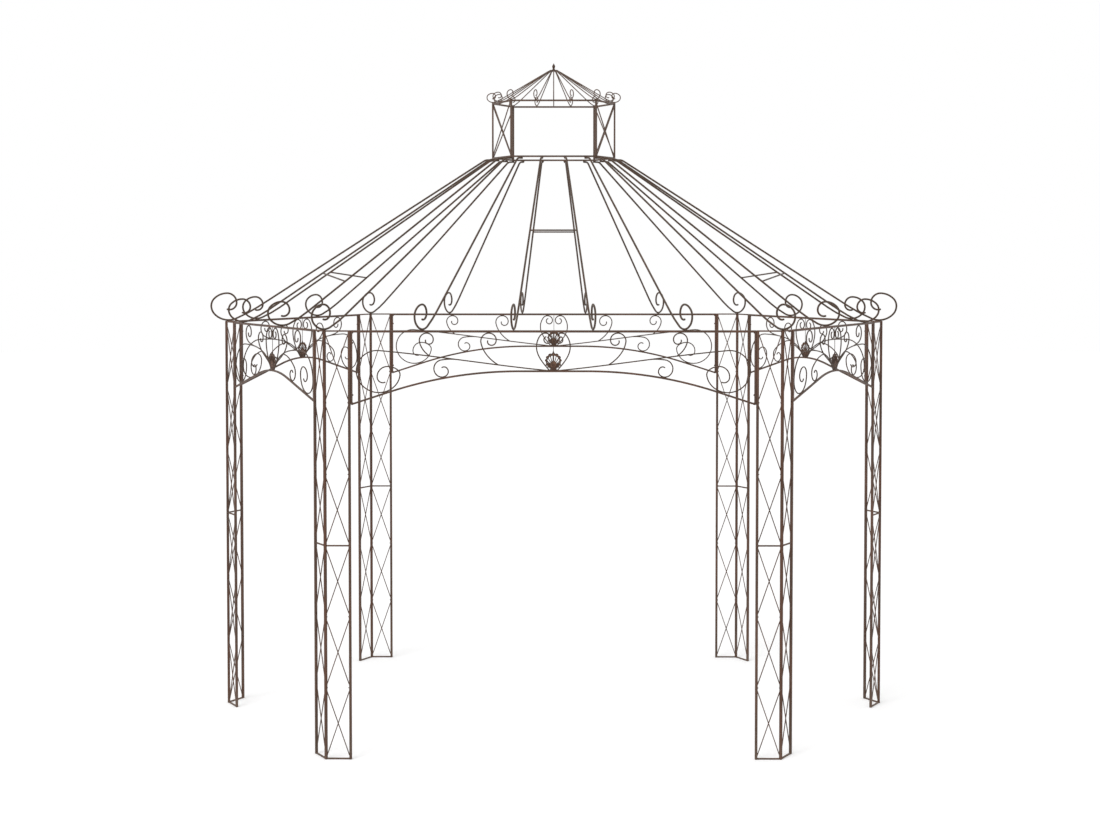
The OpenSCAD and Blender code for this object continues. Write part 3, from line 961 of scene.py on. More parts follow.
@dataclass
class Column:
    """A corner post with a narrow lattice side along each of its two bays.

    Each side has twice as many crossings as there are cells. Rails and wires are let into the bars at
    their ends; lift is how far a wire passes in front of the middle plane, in its thickness.
    """

    site: Site
    corner: int
    cells: int = 3
    edge: float = 0.0024
    rail_edge: float = 0.0012
    let_in: float = 0.0006
    lift: float = 0.46
    cross_weld: float = 0.0030
    end_weld: float = 0.0036

    def build(self, shop: Workshop) -> None:
        """Makes the post and both lattice sides.

        Args:
            shop: The workshop that dresses and places them.
        """
        name = CORNERS[self.corner]
        shop.place(f"{name}_post_tube", self.post(), Slot.POST, f"{name}_post")
        for bay in (Bay(self.corner), Bay((self.corner + 5) % 6)):
            node = f"{name}_column_{bay.title}_lattice"
            shop.place(f"{node}_side", self.lattice(bay), Slot.LATTICE, node)

    def tube(self) -> Section:
        """Section of the post and of the lattice sides' outer bars."""
        return Section.square(self.site.bar.upright, self.edge)

    def post(self) -> Shape:
        """The square tube on the corner, turned halfway between its bays."""
        ends = np.append(self.site.eaves.corners[self.corner], 0.0) + np.outer([0.0, self.site.post_h], UP)
        return straight(*ends, self.tube(), self.site.eaves.bisector(self.corner), 8)

    def lattice(self, bay: Bay) -> Shape:
        """Outer bar, three rails and two runs of crossed wires.

        The wires of a cell pass one in front of the other, one a little inside and one a little
        outside the side's middle plane, with a weld bead where they cross and where they meet the
        bars.

        Args:
            bay: The bay that the side belongs to.

        Returns:
            The side as one shape.
        """
        bar, h, width = self.site.bar, self.site.post_h, self.site.lattice_w
        out = 1 if bay.value == self.corner else -1
        half = self.site.eaves.length(bay) / 2
        inward, along = self.site.eaves.inward(bay), self.site.eaves.along(bay)

        def spot(x: float | Array, z: float | Array, inset: float | Array = 0.0) -> Array:
            """A point x out from the post and z up."""
            x, z = np.broadcast_arrays(np.asarray(x, float), np.asarray(z, float))
            return self.site.eaves.upright(bay, np.stack([out * (x - half), z], axis=-1), inset)

        shapes = [straight(spot(width, 0.0), spot(width, h), self.tube(), along, 8)]
        rail = Section.square(bar.rail, self.rail_edge, 2)
        near, far = bar.upright / 2 - self.let_in, width - bar.upright / 2 + self.let_in
        for z in (bar.rail / 2, h / 2, h - bar.rail / 2):
            shapes.append(straight(spot(near, z), spot(far, z), rail, UP))
        wire = Section.round(bar.lattice_wire + bar.lattice_coat, 8, 0.3)
        rise = (h / 2 - bar.rail / 2) / self.cells
        starts = (np.array([[bar.rail / 2], [h / 2]]) + rise * np.arange(self.cells)).ravel()
        for z in starts:
            for flip in (-1, 1):
                ends = [z + rise * (0.5 - flip * (0.5 - x / width)) for x in (near, far)]
                inset = flip * self.lift * bar.lattice_wire
                a, b = spot(near, ends[0], inset), spot(far, ends[1], inset)
                shapes.append(sweep(np.linspace(a, b, 5), wire, inward))
        shapes.append(repeated(bead(self.cross_weld), spot(width / 2, starts + rise / 2)))
        joints = np.concatenate([starts, starts + rise])
        for x in (near + 0.001, far - 0.001):
            shapes.append(repeated(bead(self.end_weld), spot(x, joints)))
        return joined(shapes)


# ---- arched bays --------------------------------------------------------------------------------

@dataclass
class ArchedBay:
    """One bay's frame of top bar, side bars and arch, with its scrollwork.

    Attributes:
        site: Plans and heights.
        bay: The bay.
        drop: From the top bar's middle down to the side bars' feet.
        rise: From there up to the arch's crown.
        flat: Half the width of the level crown.
        haunch: Level width of a straight haunch.
        shell_h: Height of the shell on the crown.
        edge: Radius of the arch's and the side bars' corners.
        top_edge: Radius of the top bar's corners.
        weld: Radius of a bead in the frame's corners.
        bolt_down: From the top bar's middle down to the upper bolt.
        bolt_up: From a side bar's foot up to the lower bolt.
        tip_wire: Thickness of the wire from the shell's tip to the top bar.
        bolt: The bolt.
    """

    site: Site
    bay: Bay
    drop: float
    rise: float
    flat: float
    haunch: float
    shell_h: float = 0.104
    edge: float = 0.0018
    top_edge: float = 0.002
    weld: float = 0.0045
    bolt_down: float = 0.06
    bolt_up: float = 0.05
    tip_wire: float = 0.0032
    bolt: Bolt = Bolt()

    @staticmethod
    def of(site: Site, bay: Bay) -> "ArchedBay":
        """Gives a bay the sizes of its kind.

        Args:
            site: Plans and heights.
            bay: The bay.

        Returns:
            The arched bay.
        """
        if bay.long:
            return ArchedBay(site, bay, drop=0.384, rise=0.175, flat=0.179, haunch=0.206)
        return ArchedBay(site, bay, drop=0.376, rise=0.130, flat=0.0, haunch=0.384)

    def build(self, shop: Workshop) -> None:
        """Makes the frame and the scrollwork.

        Args:
            shop: The workshop that dresses and places them.
        """
        title = self.bay.title
        shop.place(f"{title}_arched_frame", self.frame(), Slot.FRAME, f"{title}_arch_frame")
        shop.place(f"{title}_scrolls", self.scrolls(), Slot.SCROLLWORK, f"{title}_scrollwork")

    @property
    def half(self) -> float:
        """Half the frame's width."""
        return self.site.frame_half(self.bay)

    @property
    def shoulder(self) -> float:
        """Level width of the arch's round shoulder, between its level crown and its straight haunch."""
        return self.half - self.flat - self.haunch

    @property
    def haunch_slope(self) -> float:
        """Slope of the haunch.

        Where t is the tangent of half of it, rise = shoulder t + haunch 2t / (1 - t^2), which is
        solved for t by putting the last guess into the small terms.

        Returns:
            The slope in degrees.
        """
        t = 0.0
        for _ in range(8):
            t = self.rise * (1 - t * t) / (self.shoulder * (1 - t * t) + 2 * self.haunch)
        return float(2 * np.degrees(np.arctan(t)))

    @property
    def radius(self) -> float:
        """Radius of the arch's shoulders."""
        return self.shoulder / sin(self.haunch_slope)

    @property
    def crown_z(self) -> float:
        """Height of the arch's middle line at the crown."""
        return self.site.top_bar_z - self.drop + self.rise

    @property
    def stem_z(self) -> float:
        """Height at which the stems leave the crown, inside its upper face."""
        return self.crown_z + 0.3 * self.site.bar.arch_bar

    def arch_z(self, u: float | Array) -> Array:
        """Height of the arch's middle line: level crown, shoulder of that radius, straight haunch.

        Args:
            u: Distance from the middle of the bay.

        Returns:
            The height, or one for each distance.
        """
        run = np.maximum(0, np.abs(u) - self.flat)
        bent = np.minimum(run, self.shoulder)
        fall = (run - bent) * np.tan(np.radians(self.haunch_slope))
        return self.crown_z - self.radius + np.sqrt(self.radius ** 2 - bent ** 2) - fall

    def slope(self, u: float) -> float:
        """How steep the arch is at u, in degrees."""
        return float(np.degrees(np.arcsin(min(self.shoulder, max(0.0, abs(u) - self.flat)) / self.radius)))

    def on_arch(self, u: float, radius: float) -> Array:
        """Centre of a curl that rests on the arch at u."""
        gap = radius + (self.site.bar.arch_bar + self.site.bar.scroll_wire) / 2
        return np.array([u, float(self.arch_z(u)) + gap / cos(self.slope(u))])

    def under_bar(self, u: float, radius: float) -> Array:
        """Centre of a curl that hangs from the top bar at u."""
        gap = radius + (self.site.bar.top_bar + self.site.bar.scroll_wire) / 2
        return np.array([u, self.site.top_bar_z - gap])

    def stand(self, points: Array) -> Array:
        """Stands (along, up) points in the bay's plane."""
        return self.site.eaves.upright(self.bay, points)

    def frame(self) -> Shape:
        """Top bar, side bars, arch and the bolts that hold the frame to the columns.

        Returns:
            The frame as one shape.
        """
        bar, z = self.site.bar, self.site.top_bar_z
        along, inward = self.site.eaves.along(self.bay), self.site.eaves.inward(self.bay)
        thin = Section.square(bar.arch_bar, self.edge)
        shapes = [straight(self.stand((-self.half, z)), self.stand((self.half, z)),
                           Section.square(bar.top_bar, self.top_edge), inward, 6)]
        middle, face = self.half - bar.arch_bar / 2, self.half - bar.arch_bar
        u = np.linspace(-middle, middle, 61)
        shapes.append(sweep(self.stand(np.stack([u, self.arch_z(u)], axis=1)), thin, inward))
        for side in (-1, 1):
            foot, top = self.stand([(side * middle, z - self.drop), (side * middle, z)])
            shapes.append(straight(foot, top, thin, inward, 2))
            for height in (z - self.bolt_down, z - self.drop + self.bolt_up):
                shapes.append(self.bolt.at(self.stand((side * face, height)), -side * along))
            x = side * (face - 0.001)
            shapes.append(repeated(bead(self.weld), self.stand([
                (x, float(self.arch_z(face)) + 0.004), (x, z - bar.top_bar / 2 - 0.001)])))
        return joined(shapes)

    def lyre(self) -> Stem:
        """The stem over the shell, whose curl turns in under the top bar.

        Returns:
            The stem of the right half.
        """
        r = 0.038 if self.bay.long else 0.041
        centre = self.under_bar(1.1 * r, 0.92 * r) - polar(35, 1.68 * r)
        return Stem(np.array([0.19 * self.shell_h, self.stem_z]), 50, centre, -5,
                    scaled(r, [(2.6, 40), (0.92, 95), (0.72, 90), (0.5, 160), (0.36, 60)]))

    def long_stems(self) -> list[Stem]:
        """A stem out to the big curl by the column, and three small curls that spring from it.

        Returns:
            The stems of the right half.
        """
        r, spread = 0.108, self.half / 1.063
        rest = self.on_arch(self.half - 1.37 * r, 1.11 * r)
        main = Stem(np.array([0.020, self.stem_z]), 5.5, rest + polar(-35, 0.11 * r), 95,
                    scaled(r, [(1, -130), (1.11, -90), (0.95, -45), (0.3, -60), (0.75, -45), (0.5, -90),
                               (0.27, -110)]))
        return [
            main,
            Stem(main.at(0.30), 30, self.under_bar(0.338 * spread, 0.042), -10, small_curl(0.042)),
            Stem(main.at(0.55), 4, self.on_arch(0.580 * spread, 0.042), 80, small_curl(0.046, -1)),
            Stem(main.at(0.70), 30, self.under_bar(0.664 * spread, 0.038), -10, small_curl(0.038)),
        ]

    def short_stems(self) -> list[Stem]:
        """A stem to the big curl in the corner, one that falls, one up to the bar and one by the shell.

        Returns:
            The stems of the right half.
        """
        bar, r, spread = self.site.bar, 0.098, self.half / 0.591
        foot = np.array([0.014, self.stem_z])
        rest = self.on_arch(self.half - bar.arch_bar - bar.scroll_wire - 0.752 * r, r)
        main = Stem(foot, 58, rest - r * np.array([0.828, 0.295]), 90,
                    scaled(r, [(1.58, -90), (0.7, -80), (1, -100), (0.42, -90), (0.56, -70), (0.32, -110),
                               (0.22, -70)]))
        return [
            main,
            Stem(main.at(0.40), 0, self.on_arch(0.288 * spread, 0.043), 50, small_curl(0.043, -1)),
            Stem(main.at(0.70), 12, self.under_bar(0.364 * spread, 0.043), -20, small_curl(0.043)),
            Stem(foot, 56, np.array([0.176 * spread, self.site.top_bar_z - 0.076]), -25, small_curl(0.038)),
        ]

    def scrolls(self) -> Shape:
        """All the bay's round wires, each with its mirror image, and the wire from shell to top bar.

        Returns:
            The wires as one shape.
        """
        bar, inward = self.site.bar, self.site.eaves.inward(self.bay)
        wire = Section.round(bar.scroll_wire + bar.coat, 10, 0.4)
        stems = [self.lyre(), *(self.long_stems() if self.bay.long else self.short_stems())]
        shapes = [sweep(self.stand(stem.points() * (side, 1)), wire, inward)
                  for stem in stems for side in (-1, 1)]
        tip = self.crown_z + bar.arch_bar / 2 + 0.96 * self.shell_h
        top = self.site.top_bar_z - bar.top_bar / 2 + 0.001
        shapes.append(straight(*self.stand([(0, tip), (0, top)]), Section.round(self.tip_wire, 8), inward))
        return joined(shapes)


@dataclass
class Shell:
    """The cast fan that stands on the crown of an arch.

    Attributes:
        arch: The bay that carries it.
        thick: Thickness of the casting.
        lobes: Number of its lobes.
        spread: Half the angle that the fan opens.
        focus: Height that the fan opens from, as a part of the shell's.
        slot_from: Where the slots between the lobes start, as a part of a lobe's length.
        slot_to: Where they end.
        round_from: Where a lobe's end starts to round off.
        rib: Width of a lobe between its slots.
        rim_wire: Thickness of the scalloped rim.
        hook_wire: Thickness of the hooks at the foot.
        leaves: Lean and length, as a part of the height, of the low leaves on each side.
        neck: Height and half width of the foot and its neck, as parts of the shell's height.
        spire: Radius and height of the tip's outline.
    """

    arch: ArchedBay
    thick: float = 0.008
    lobes: int = 7
    spread: float = 56.0
    focus: float = 0.19
    slot_from: float = 0.36
    slot_to: float = 0.82
    round_from: float = 0.84
    rib: float = 0.0044
    rim_wire: float = 0.0078
    hook_wire: float = 0.0046
    leaves: tuple[tuple[float, float], ...] = ((68.0, 0.40), (88.0, 0.30), (107.0, 0.22))
    neck: tuple[tuple[float, float], ...] = (
        (0.0, 0.225), (0.025, 0.215), (0.07, 0.15), (0.13, 0.14), (0.20, 0.165), (0.28, 0.178),
        (0.36, 0.145), (0.42, 0.08), (0.45, 0.02))
    spire: tuple[tuple[float, float], ...] = (
        (0.0030, -0.008), (0.0046, -0.004), (0.0048, 0.0), (0.0036, 0.004), (0.0020, 0.008),
        (0.0010, 0.011), (0.0003, 0.0125))

    def reach(self, angle: float | Array) -> Array:
        """Distance from the focus to the rim: 0.22 + 0.48 cos(angle) of the shell's height."""
        return (0.22 + 0.48 * np.cos(np.radians(angle))) * self.arch.shell_h

    def lobe(self, angle: float, reach: float, fill: float = 1.0, broad: float = 1.22) -> Shape:
        """One lobe: a long closed form on a grid of length s and turn t.

        Point (s, t) lies s reaches out from the focus, cos(t) half widths aside and sin(t)^0.7 half
        depths in. The width is the lobe's share of the fan, narrowed to a rib where the slots lie open
        on either side, and rounds off at the end as a circle does; the depth is least along the slots
        and greatest in the rolled rim.

        Args:
            angle: How far the lobe leans from upright.
            reach: Its length from the focus.
            fill: Width of its rib between the slots, in ribs.
            broad: Width of its end, in shares of the fan.

        Returns:
            The lobe in the (along, up, inward) axes of the bay.
        """
        end = 1 - self.round_from
        s = np.concatenate([np.linspace(0.04, self.round_from, 21),
                            self.round_from + end * polar(np.array([18, 36, 52, 66, 78, 86]))[:, 1]])
        turn = polar(np.linspace(0, 360, 14, endpoint=False))
        slot = np.clip((s - self.slot_from) / 0.08, 0, 1) * np.clip((self.slot_to - s) / 0.05, 0, 1)
        share = broad * reach * s * np.tan(np.radians(self.spread / self.lobes))
        rounding = np.sqrt(np.clip(1 - np.clip((s - self.round_from) / end, 0, 1) ** 2, 0.0004, 1))
        wide = np.maximum(share - slot * np.maximum(share - fill * self.rib / 2, 0), 0.0012) * rounding
        deep = self.thick / 2 * (1 - 0.36 * slot) * (0.3 + 0.7 * rounding)
        x = turn[:, 0] * wide[:, None]
        d = np.sign(turn[:, 1]) * np.abs(turn[:, 1]) ** 0.7 * deep[:, None]
        out = s[:, None] * reach
        points = np.stack([out * sin(angle) + x * cos(angle), out * cos(angle) - x * sin(angle), d], axis=-1)
        return Shape.rings(points, np.clip(np.abs(d) / (self.thick / 2), 0, 1) ** 2)

    def rim(self) -> Array:
        """The scalloped line that ties the lobes' ends together: it dips wherever two of them meet.

        Returns:
            Its (along, up) points from the focus.
        """
        lean = 1.12 * self.spread * np.linspace(-1, 1, 64)
        dip = 0.07 * (1 - np.abs(polar(90 * lean * self.lobes / self.spread)[:, 0]))
        return polar(90 - lean) * (0.88 * self.reach(lean) * (1 - dip))[:, None]

    def hook(self, side: int) -> Array:
        """The line of the foot's hook on one side."""
        h = self.arch.shell_h
        return curl_points(np.array([side * 0.17 * h, 0.20 * h]), 90 + side * 110,
                           scaled(0.062 * h, [(1, side * 190), (0.6, side * 170)]), 15)

    def shape(self) -> Shape:
        """Seven lobes with slots between them, rim, low leaves, the foot with its hooks and the tip.

        Returns:
            The casting in the (along, up, inward) axes of the bay, from the arch's upper face.
        """
        h = self.arch.shell_h
        focus = np.array([0.0, self.focus * h, 0.0])
        fan = self.spread * (np.arange(1 - self.lobes, self.lobes, 2) / self.lobes)
        parts = [self.lobe(float(a), float(self.reach(a)), 1.0 if a else 1.8).moved(focus) for a in fan]
        parts.append(sweep(flat(self.rim()) + focus, Section.round(self.rim_wire, 8, 0.5), UP))
        for side in (-1, 1):
            parts += [self.lobe(side * lean, part * h, 4.0, 1.9).moved(focus) for lean, part in self.leaves]
            parts.append(sweep(flat(self.hook(side)), Section.round(self.hook_wire, 8, 0.5), UP))
        neck = np.array(self.neck) * h
        turn = polar(np.linspace(0, 360, 16, endpoint=False))
        oval = Section(turn * (1, 0.24), np.full(16, 0.5), ((0.0, 0.9),))
        parts.append(sweep(neck[:, :1] * np.array([[0.0, 1.0, 0.0]]), oval, UP, neck[:, 1]))
        flattened = np.array([[1.0, 0.0, 0.0], [0.0, 0.0, -0.7], [0.0, 1.0, 0.0]])
        parts.append(lathe(self.spire, 12).placed(focus + (0, float(self.reach(0)), 0), flattened))
        return joined(parts)

    def placed(self) -> Shape:
        """Stands the casting on its arch.

        Returns:
            The casting in its place.
        """
        local, arch = self.shape(), self.arch
        up = np.array([0, arch.crown_z + arch.site.bar.arch_bar / 2])
        points = arch.site.eaves.upright(arch.bay, local.points[:, :2] + up, local.points[:, 2])
        return Shape(points, local.quads, local.caps, local.rub).flipped()


# ---- roof ---------------------------------------------------------------------------------------

@dataclass(frozen=True)
class ScrolledRod:
    """A rod that leaves a level stub, runs down a straight slope and rolls up into a scroll.

    Attributes:
        head: Plan point of its head.
        foot: Plan point of the scroll's lowest point.
        head_z: Height of the stub.
        foot_z: Height of the scroll's lowest point.
        diameter: Thickness of the rod.
        height: Height of the scroll over all.
        stub: Length of the stub.
        bend: Radius of the bend below the stub.
        gentle: Angle of the gentle sweep between the slope and the scroll.
    """

    head: Array
    foot: Array
    head_z: float
    foot_z: float
    diameter: float
    height: float
    stub: float
    bend: float
    gentle: float = 10.0

    @property
    def scroll(self) -> float:
        """Half the height of the scroll's middle line."""
        return (self.height - self.diameter) / 2

    @property
    def out(self) -> Array:
        """Plan direction from the head to the foot."""
        return unit(self.foot - self.head)

    def slope(self) -> tuple[float, float]:
        """Angle and length of the straight part.

        The bends and the gentle sweep at the foot meet the straight part without a kink, so the angle
        is that of the line from the head bend's centre to the foot bend's, turned by their offset.

        Returns:
            The angle in degrees below level, and the length.
        """
        wide, tight = 11 * self.scroll, 1.43 * self.scroll
        run = float(np.linalg.norm(self.foot - self.head)) - self.stub
        spare, fall = wide - tight, self.head_z - self.foot_z - self.bend - tight
        side = self.bend + wide - spare * cos(self.gentle)
        reach = float(np.sqrt(run ** 2 + fall ** 2 - side ** 2))
        angle = float(np.degrees(np.arctan2(fall, run) + np.arctan2(side, reach)))
        return angle, reach - spare * sin(self.gentle)

    def profile(self, step: float = 6.0) -> Array:
        """The rod's middle line, from straight parts and arcs.

        Args:
            step: Largest turn between two points of an arc.

        Returns:
            Its (out, up) points.
        """
        r = self.scroll
        angle, length = self.slope()
        arcs = [(11 * r, self.gentle), (1.43 * r, angle - self.gentle + 45), (0.9 * r, 45), (0.77 * r, 45),
                (1.37 * r, 45), (0.7 * r, 90), (0.53 * r, 110)]
        at, turn = np.array([0.0, self.head_z]), 0.0
        found = [at[None, :]]
        for radius, size in [(0, self.stub), (self.bend, -angle), (0, length), *arcs]:
            if radius == 0:
                count = max(2, int(size / 0.12))
                found.append(at + polar(turn) * size * np.arange(1, count + 1)[:, None] / count)
            else:
                start = turn - 90 * np.sign(size)
                found.append(arc_points(at - polar(start, radius), start, (radius, size), step))
                turn += size
            at = found[-1][-1]
        return np.concatenate(found)

    def shape(self, coat: float, sides: int = 12) -> Shape:
        """The rod as a round section along its middle line.

        Args:
            coat: What the coat adds to its thickness.
            sides: Number of the section's points.

        Returns:
            The closed rod.
        """
        profile = self.profile()
        path = np.concatenate([self.head + profile[:, :1] * self.out, profile[:, 1:]], axis=1)
        normal = np.cross(UP, np.append(self.out, 0.0))
        return sweep(path, Section.round(self.diameter + coat, sides), normal)

    def at_height(self, z: float) -> Array:
        """Finds the point of the straight part at a height.

        Args:
            z: The height.

        Returns:
            The point in space.
        """
        angle, _ = self.slope()
        fall = self.head_z - self.bend * (1 - cos(angle)) - z
        run = self.stub + self.bend * sin(angle) + fall / np.tan(np.radians(angle))
        return np.append(self.head + self.out * run, z)


@dataclass
class Roof:
    """Rafters of the six bays and the six corners, their ties and their welds.

    Inner, outer, near and far are a rafter's foot and head, as distances from the middle of its bay:
    two pairs in a long bay, and in an end bay one rafter near the side corner and one far from it. An
    end bay's tie falls towards the far rafter. A weld lets a rod in by the bite, in a rafter's
    thickness.
    """

    site: Site
    scroll_h: float = 0.140
    side_scroll_h: float = 0.168
    side_inset: float = 0.012
    inner: tuple[float, float] = (0.207, 0.066)
    outer: tuple[float, float] = (0.684, 0.183)
    near: tuple[float, float] = (0.450, 0.070)
    far: tuple[float, float] = (0.150, 0.049)
    tie_z: float = 2.796
    end_tie_z: float = 2.552
    end_tie_fall: float = 0.040
    stub: float = 0.034
    bend: float = 0.046
    head_weld: float = 0.0042
    tie_weld: float = 0.0052
    bite: float = 0.42

    def rod(self, point: Array, foot: Array, height: float) -> ScrolledRod:
        """A rafter from under the base ring to the eaves.

        Args:
            point: Plan point of the ring that its head is under.
            foot: Plan point of its foot.
            height: Height of its scroll.

        Returns:
            The rafter.
        """
        bar = self.site.bar
        head = point + unit(point - foot) * bar.lantern / 2
        head_z = self.site.lantern_z - bar.lantern / 2 - bar.seat - bar.rafter / 2
        foot_z = self.site.post_h + bar.seat + bar.rafter / 2
        return ScrolledRod(head, foot, head_z, foot_z, bar.rafter, height, self.stub, self.bend)

    def bay_rods(self, bay: Bay) -> list[ScrolledRod]:
        """Sets out the rafters of one bay.

        Args:
            bay: The bay.

        Returns:
            Its rafters, the tied pair first.
        """
        kinds = (self.inner, self.outer) if bay.long else (self.near, self.far)
        signs = ((-1, 1), (-1, 1)) if bay.long else ((bay.tip_side,), (-bay.tip_side,))
        lantern, eaves = self.site.lantern, self.site.eaves
        return [self.rod(lantern.side_point(bay, s * head), eaves.side_point(bay, s * foot), self.scroll_h)
                for (foot, head), kind in zip(kinds, signs) for s in kind]

    def corner_rods(self) -> list[ScrolledRod]:
        """The rafters over the six posts.

        Returns:
            The rafters, in the order of the corners.
        """
        found = []
        for i, (point, foot) in enumerate(zip(self.site.lantern.corners, self.site.eaves.corners)):
            side = i in SIDE_CORNERS
            found.append(self.rod(point, foot - side * self.side_inset * unit(foot),
                                  self.side_scroll_h if side else self.scroll_h))
        return found

    def head_beads(self, rod: ScrolledRod) -> Shape:
        """Welds a rafter's stub under the base ring.

        Args:
            rod: The rafter.

        Returns:
            The two beads.
        """
        middle = rod.head + rod.out * self.site.bar.lantern / 2
        aside = 0.4 * rod.diameter * np.array([-rod.out[1], rod.out[0]])
        z = rod.head_z + self.bite * rod.diameter
        return repeated(bead(self.head_weld), np.array([np.append(middle + s * aside, z) for s in (1, -1)]))

    def tie(self, bay: Bay, rods: list[ScrolledRod]) -> Shape:
        """The rod between a bay's pair of rafters, with a weld bead at each end.

        Args:
            bay: The bay.
            rods: Its rafters, the tied pair first.

        Returns:
            Rod and beads as one shape.
        """
        bar = self.site.bar
        high, fall = (self.tie_z, 0.0) if bay.long else (self.end_tie_z, self.end_tie_fall)
        a, b = rods[0].at_height(high), rods[1].at_height(high - fall)
        lead = unit(b - a) * self.bite * bar.rafter
        a, b, section = a + lead, b - lead, Section.round(bar.tie + bar.coat)
        return joined([sweep(np.linspace(a, b, 4), section, across(lead)),
                       repeated(bead(self.tie_weld), np.array([a, b]))])

    def build(self, shop: Workshop) -> None:
        """Makes each bay's rafters, the corner rafters and all their welds.

        Args:
            shop: The workshop that dresses and places them.
        """
        rods = {bay.title: self.bay_rods(bay) for bay in Bay}
        ties = {bay.title: [self.tie(bay, rods[bay.title])] for bay in Bay}
        for title, found in {**rods, "corner": self.corner_rods()}.items():
            shapes = [rod.shape(self.site.bar.coat) for rod in found] + ties.get(title, [])
            shapes += [self.head_beads(rod) for rod in found]
            shop.place(f"{title}_scrolled_rafters", joined(shapes), Slot.RAFTER, f"{title}_rafters")


# ---- lantern ------------------------------------------------------------------------------------

@dataclass
class Lantern:
    """The small frame on top: two rings, six posts, crossed rods in its end faces, ribs and finial.

    The cap's hub is cap_rise above the top ring's middle, its ribs stand cap_spread apart over a long
    side and end_shift off the middle of an end side. The plate is the outline of the finial's plate
    and neck, as radius and height, inside the plate's rim.
    """

    site: Site
    edge: float = 0.0016
    cap_rise: float = 0.192
    rib_scroll_h: float = 0.058
    cap_spread: float = 0.101
    end_shift: float = 0.050
    rib_start: float = 0.018
    rib_stub: float = 0.008
    rib_bend: float = 0.016
    brace_weld: float = 0.0044
    finial_h: float = 0.044
    hub_r: float = 0.026
    plate: tuple[tuple[float, float], ...] = (
        (0.012, 0.0056), (0.0078, 0.0064), (0.0062, 0.0085), (0.0078, 0.0100), (0.0082, 0.0118),
        (0.0070, 0.0134), (0.0048, 0.0146))

    @property
    def section(self) -> Section:
        """Section of the rings and the posts."""
        return Section.square(self.site.bar.lantern, self.edge)

    @property
    def gap(self) -> tuple[float, float]:
        """Heights of the base ring's upper face and the top ring's lower face."""
        half = self.site.bar.lantern / 2
        return self.site.lantern_z + half, self.site.top_ring_z - half

    def ring(self, z: float) -> Shape:
        """A square bar carried round the lantern's plan, mitred at the corners.

        Point (i, j) is corner i, moved out by the outline's x over the cosine of half the corner's
        turn, at a height of z and the outline's y.

        Args:
            z: Height of the bar's middle.

        Returns:
            The closed ring.
        """
        corners, outline = self.site.lantern.corners, self.section.outline
        before = unit(corners - np.roll(corners, 1, axis=0))
        after = unit(np.roll(corners, -1, axis=0) - corners)
        outward = unit((before + after)[:, ::-1] * (1, -1))
        stretch = 1 / np.sqrt((1 + np.sum(before * after, axis=1)) / 2)
        offset = outward[:, None, :] * stretch[:, None, None] * outline[None, :, :1]
        level = np.broadcast_to(z + outline[None, :, 1:], (6, len(outline), 1))
        points = np.concatenate([corners[:, None, :] + offset, level], axis=2).reshape(-1, 3)
        quads = grid_quads(6, len(outline), closed=True)
        return Shape(points, quads, [], np.tile(self.section.rub, 6)).flipped()

    def posts(self) -> Shape:
        """The six short posts between the rings."""
        low, high = self.gap
        return joined([straight(np.append(c, low), np.append(c, high), self.section,
                                self.site.lantern.bisector(i), 2)
                       for i, c in enumerate(self.site.lantern.corners)])

    def braces(self) -> Shape:
        """Two round rods crossed in each of the four end faces, one just inside the other.

        Returns:
            The rods and their beads as one shape.
        """
        bar, plan = self.site.bar, self.site.lantern
        low, high = self.gap
        shapes = []
        for bay in (b for b in Bay if not b.long):
            half = plan.length(bay) / 2 - bar.lantern / 3
            for flip in (-1, 1):
                heights = (low, high)[::-flip]
                ends = plan.upright(bay, list(zip((-half, half), heights)), flip * (bar.brace + bar.seat) / 2)
                shapes.append(straight(*ends, Section.round(bar.brace + bar.coat, 10), plan.inward(bay), 3))
            shapes.append(repeated(bead(self.brace_weld), plan.upright(bay, [(0, (low + high) / 2)])))
        return joined(shapes)

    def ribs(self) -> Shape:
        """The cap's sixteen ribs: one to each corner, three to each long side, one to each end side.

        Returns:
            The ribs as one shape.
        """
        bar, plan = self.site.bar, self.site.lantern
        ends = [(c, c) for c in plan.corners]
        for bay in Bay:
            if bay.long:
                ends += [(plan.side_point(bay, u),) * 2 for u in (-self.cap_spread, 0.0, self.cap_spread)]
            else:
                ends.append((plan.side_point(bay, bay.tip_side * self.end_shift), plan.side_point(bay, 0.0)))
        head_z = self.site.top_ring_z + self.cap_rise - bar.seat - bar.rib / 2
        foot_z = self.site.top_ring_z + bar.lantern / 2 + bar.seat + bar.rib / 2
        return joined([ScrolledRod(unit(towards) * self.rib_start, foot, head_z, foot_z, bar.rib,
                                   self.rib_scroll_h, self.rib_stub, self.rib_bend).shape(bar.coat, 10)
                       for foot, towards in ends])

    def finial(self) -> Shape:
        """Hub plate, turned neck and spear bud.

        The bud's radius swells from the neck to a third of its height and tapers to a point, as
        5 + 5.5 sin(180 t^0.7) - 5 t millimetres at the share t of its height.

        Returns:
            One turned shape on the middle of the cap.
        """
        h, r = self.finial_h, self.hub_r
        t = np.linspace(0, 1, 15)
        bud = np.stack([0.001 * (5 + 5.5 * np.sin(np.pi * t ** 0.7) - 5 * t), (0.36 + 0.64 * t) * h], axis=1)
        bud[-1, 0] = 0.0004
        rim = [(0.002, 0.0), (r - 0.0008, 0.0), (r, 0.0007), (r, 0.0026), (r - 0.0012, 0.0040)]
        made = lathe(np.concatenate([rim, self.plate, bud]), 28)
        return made.moved(np.array([0, 0, self.site.top_ring_z + self.cap_rise]))

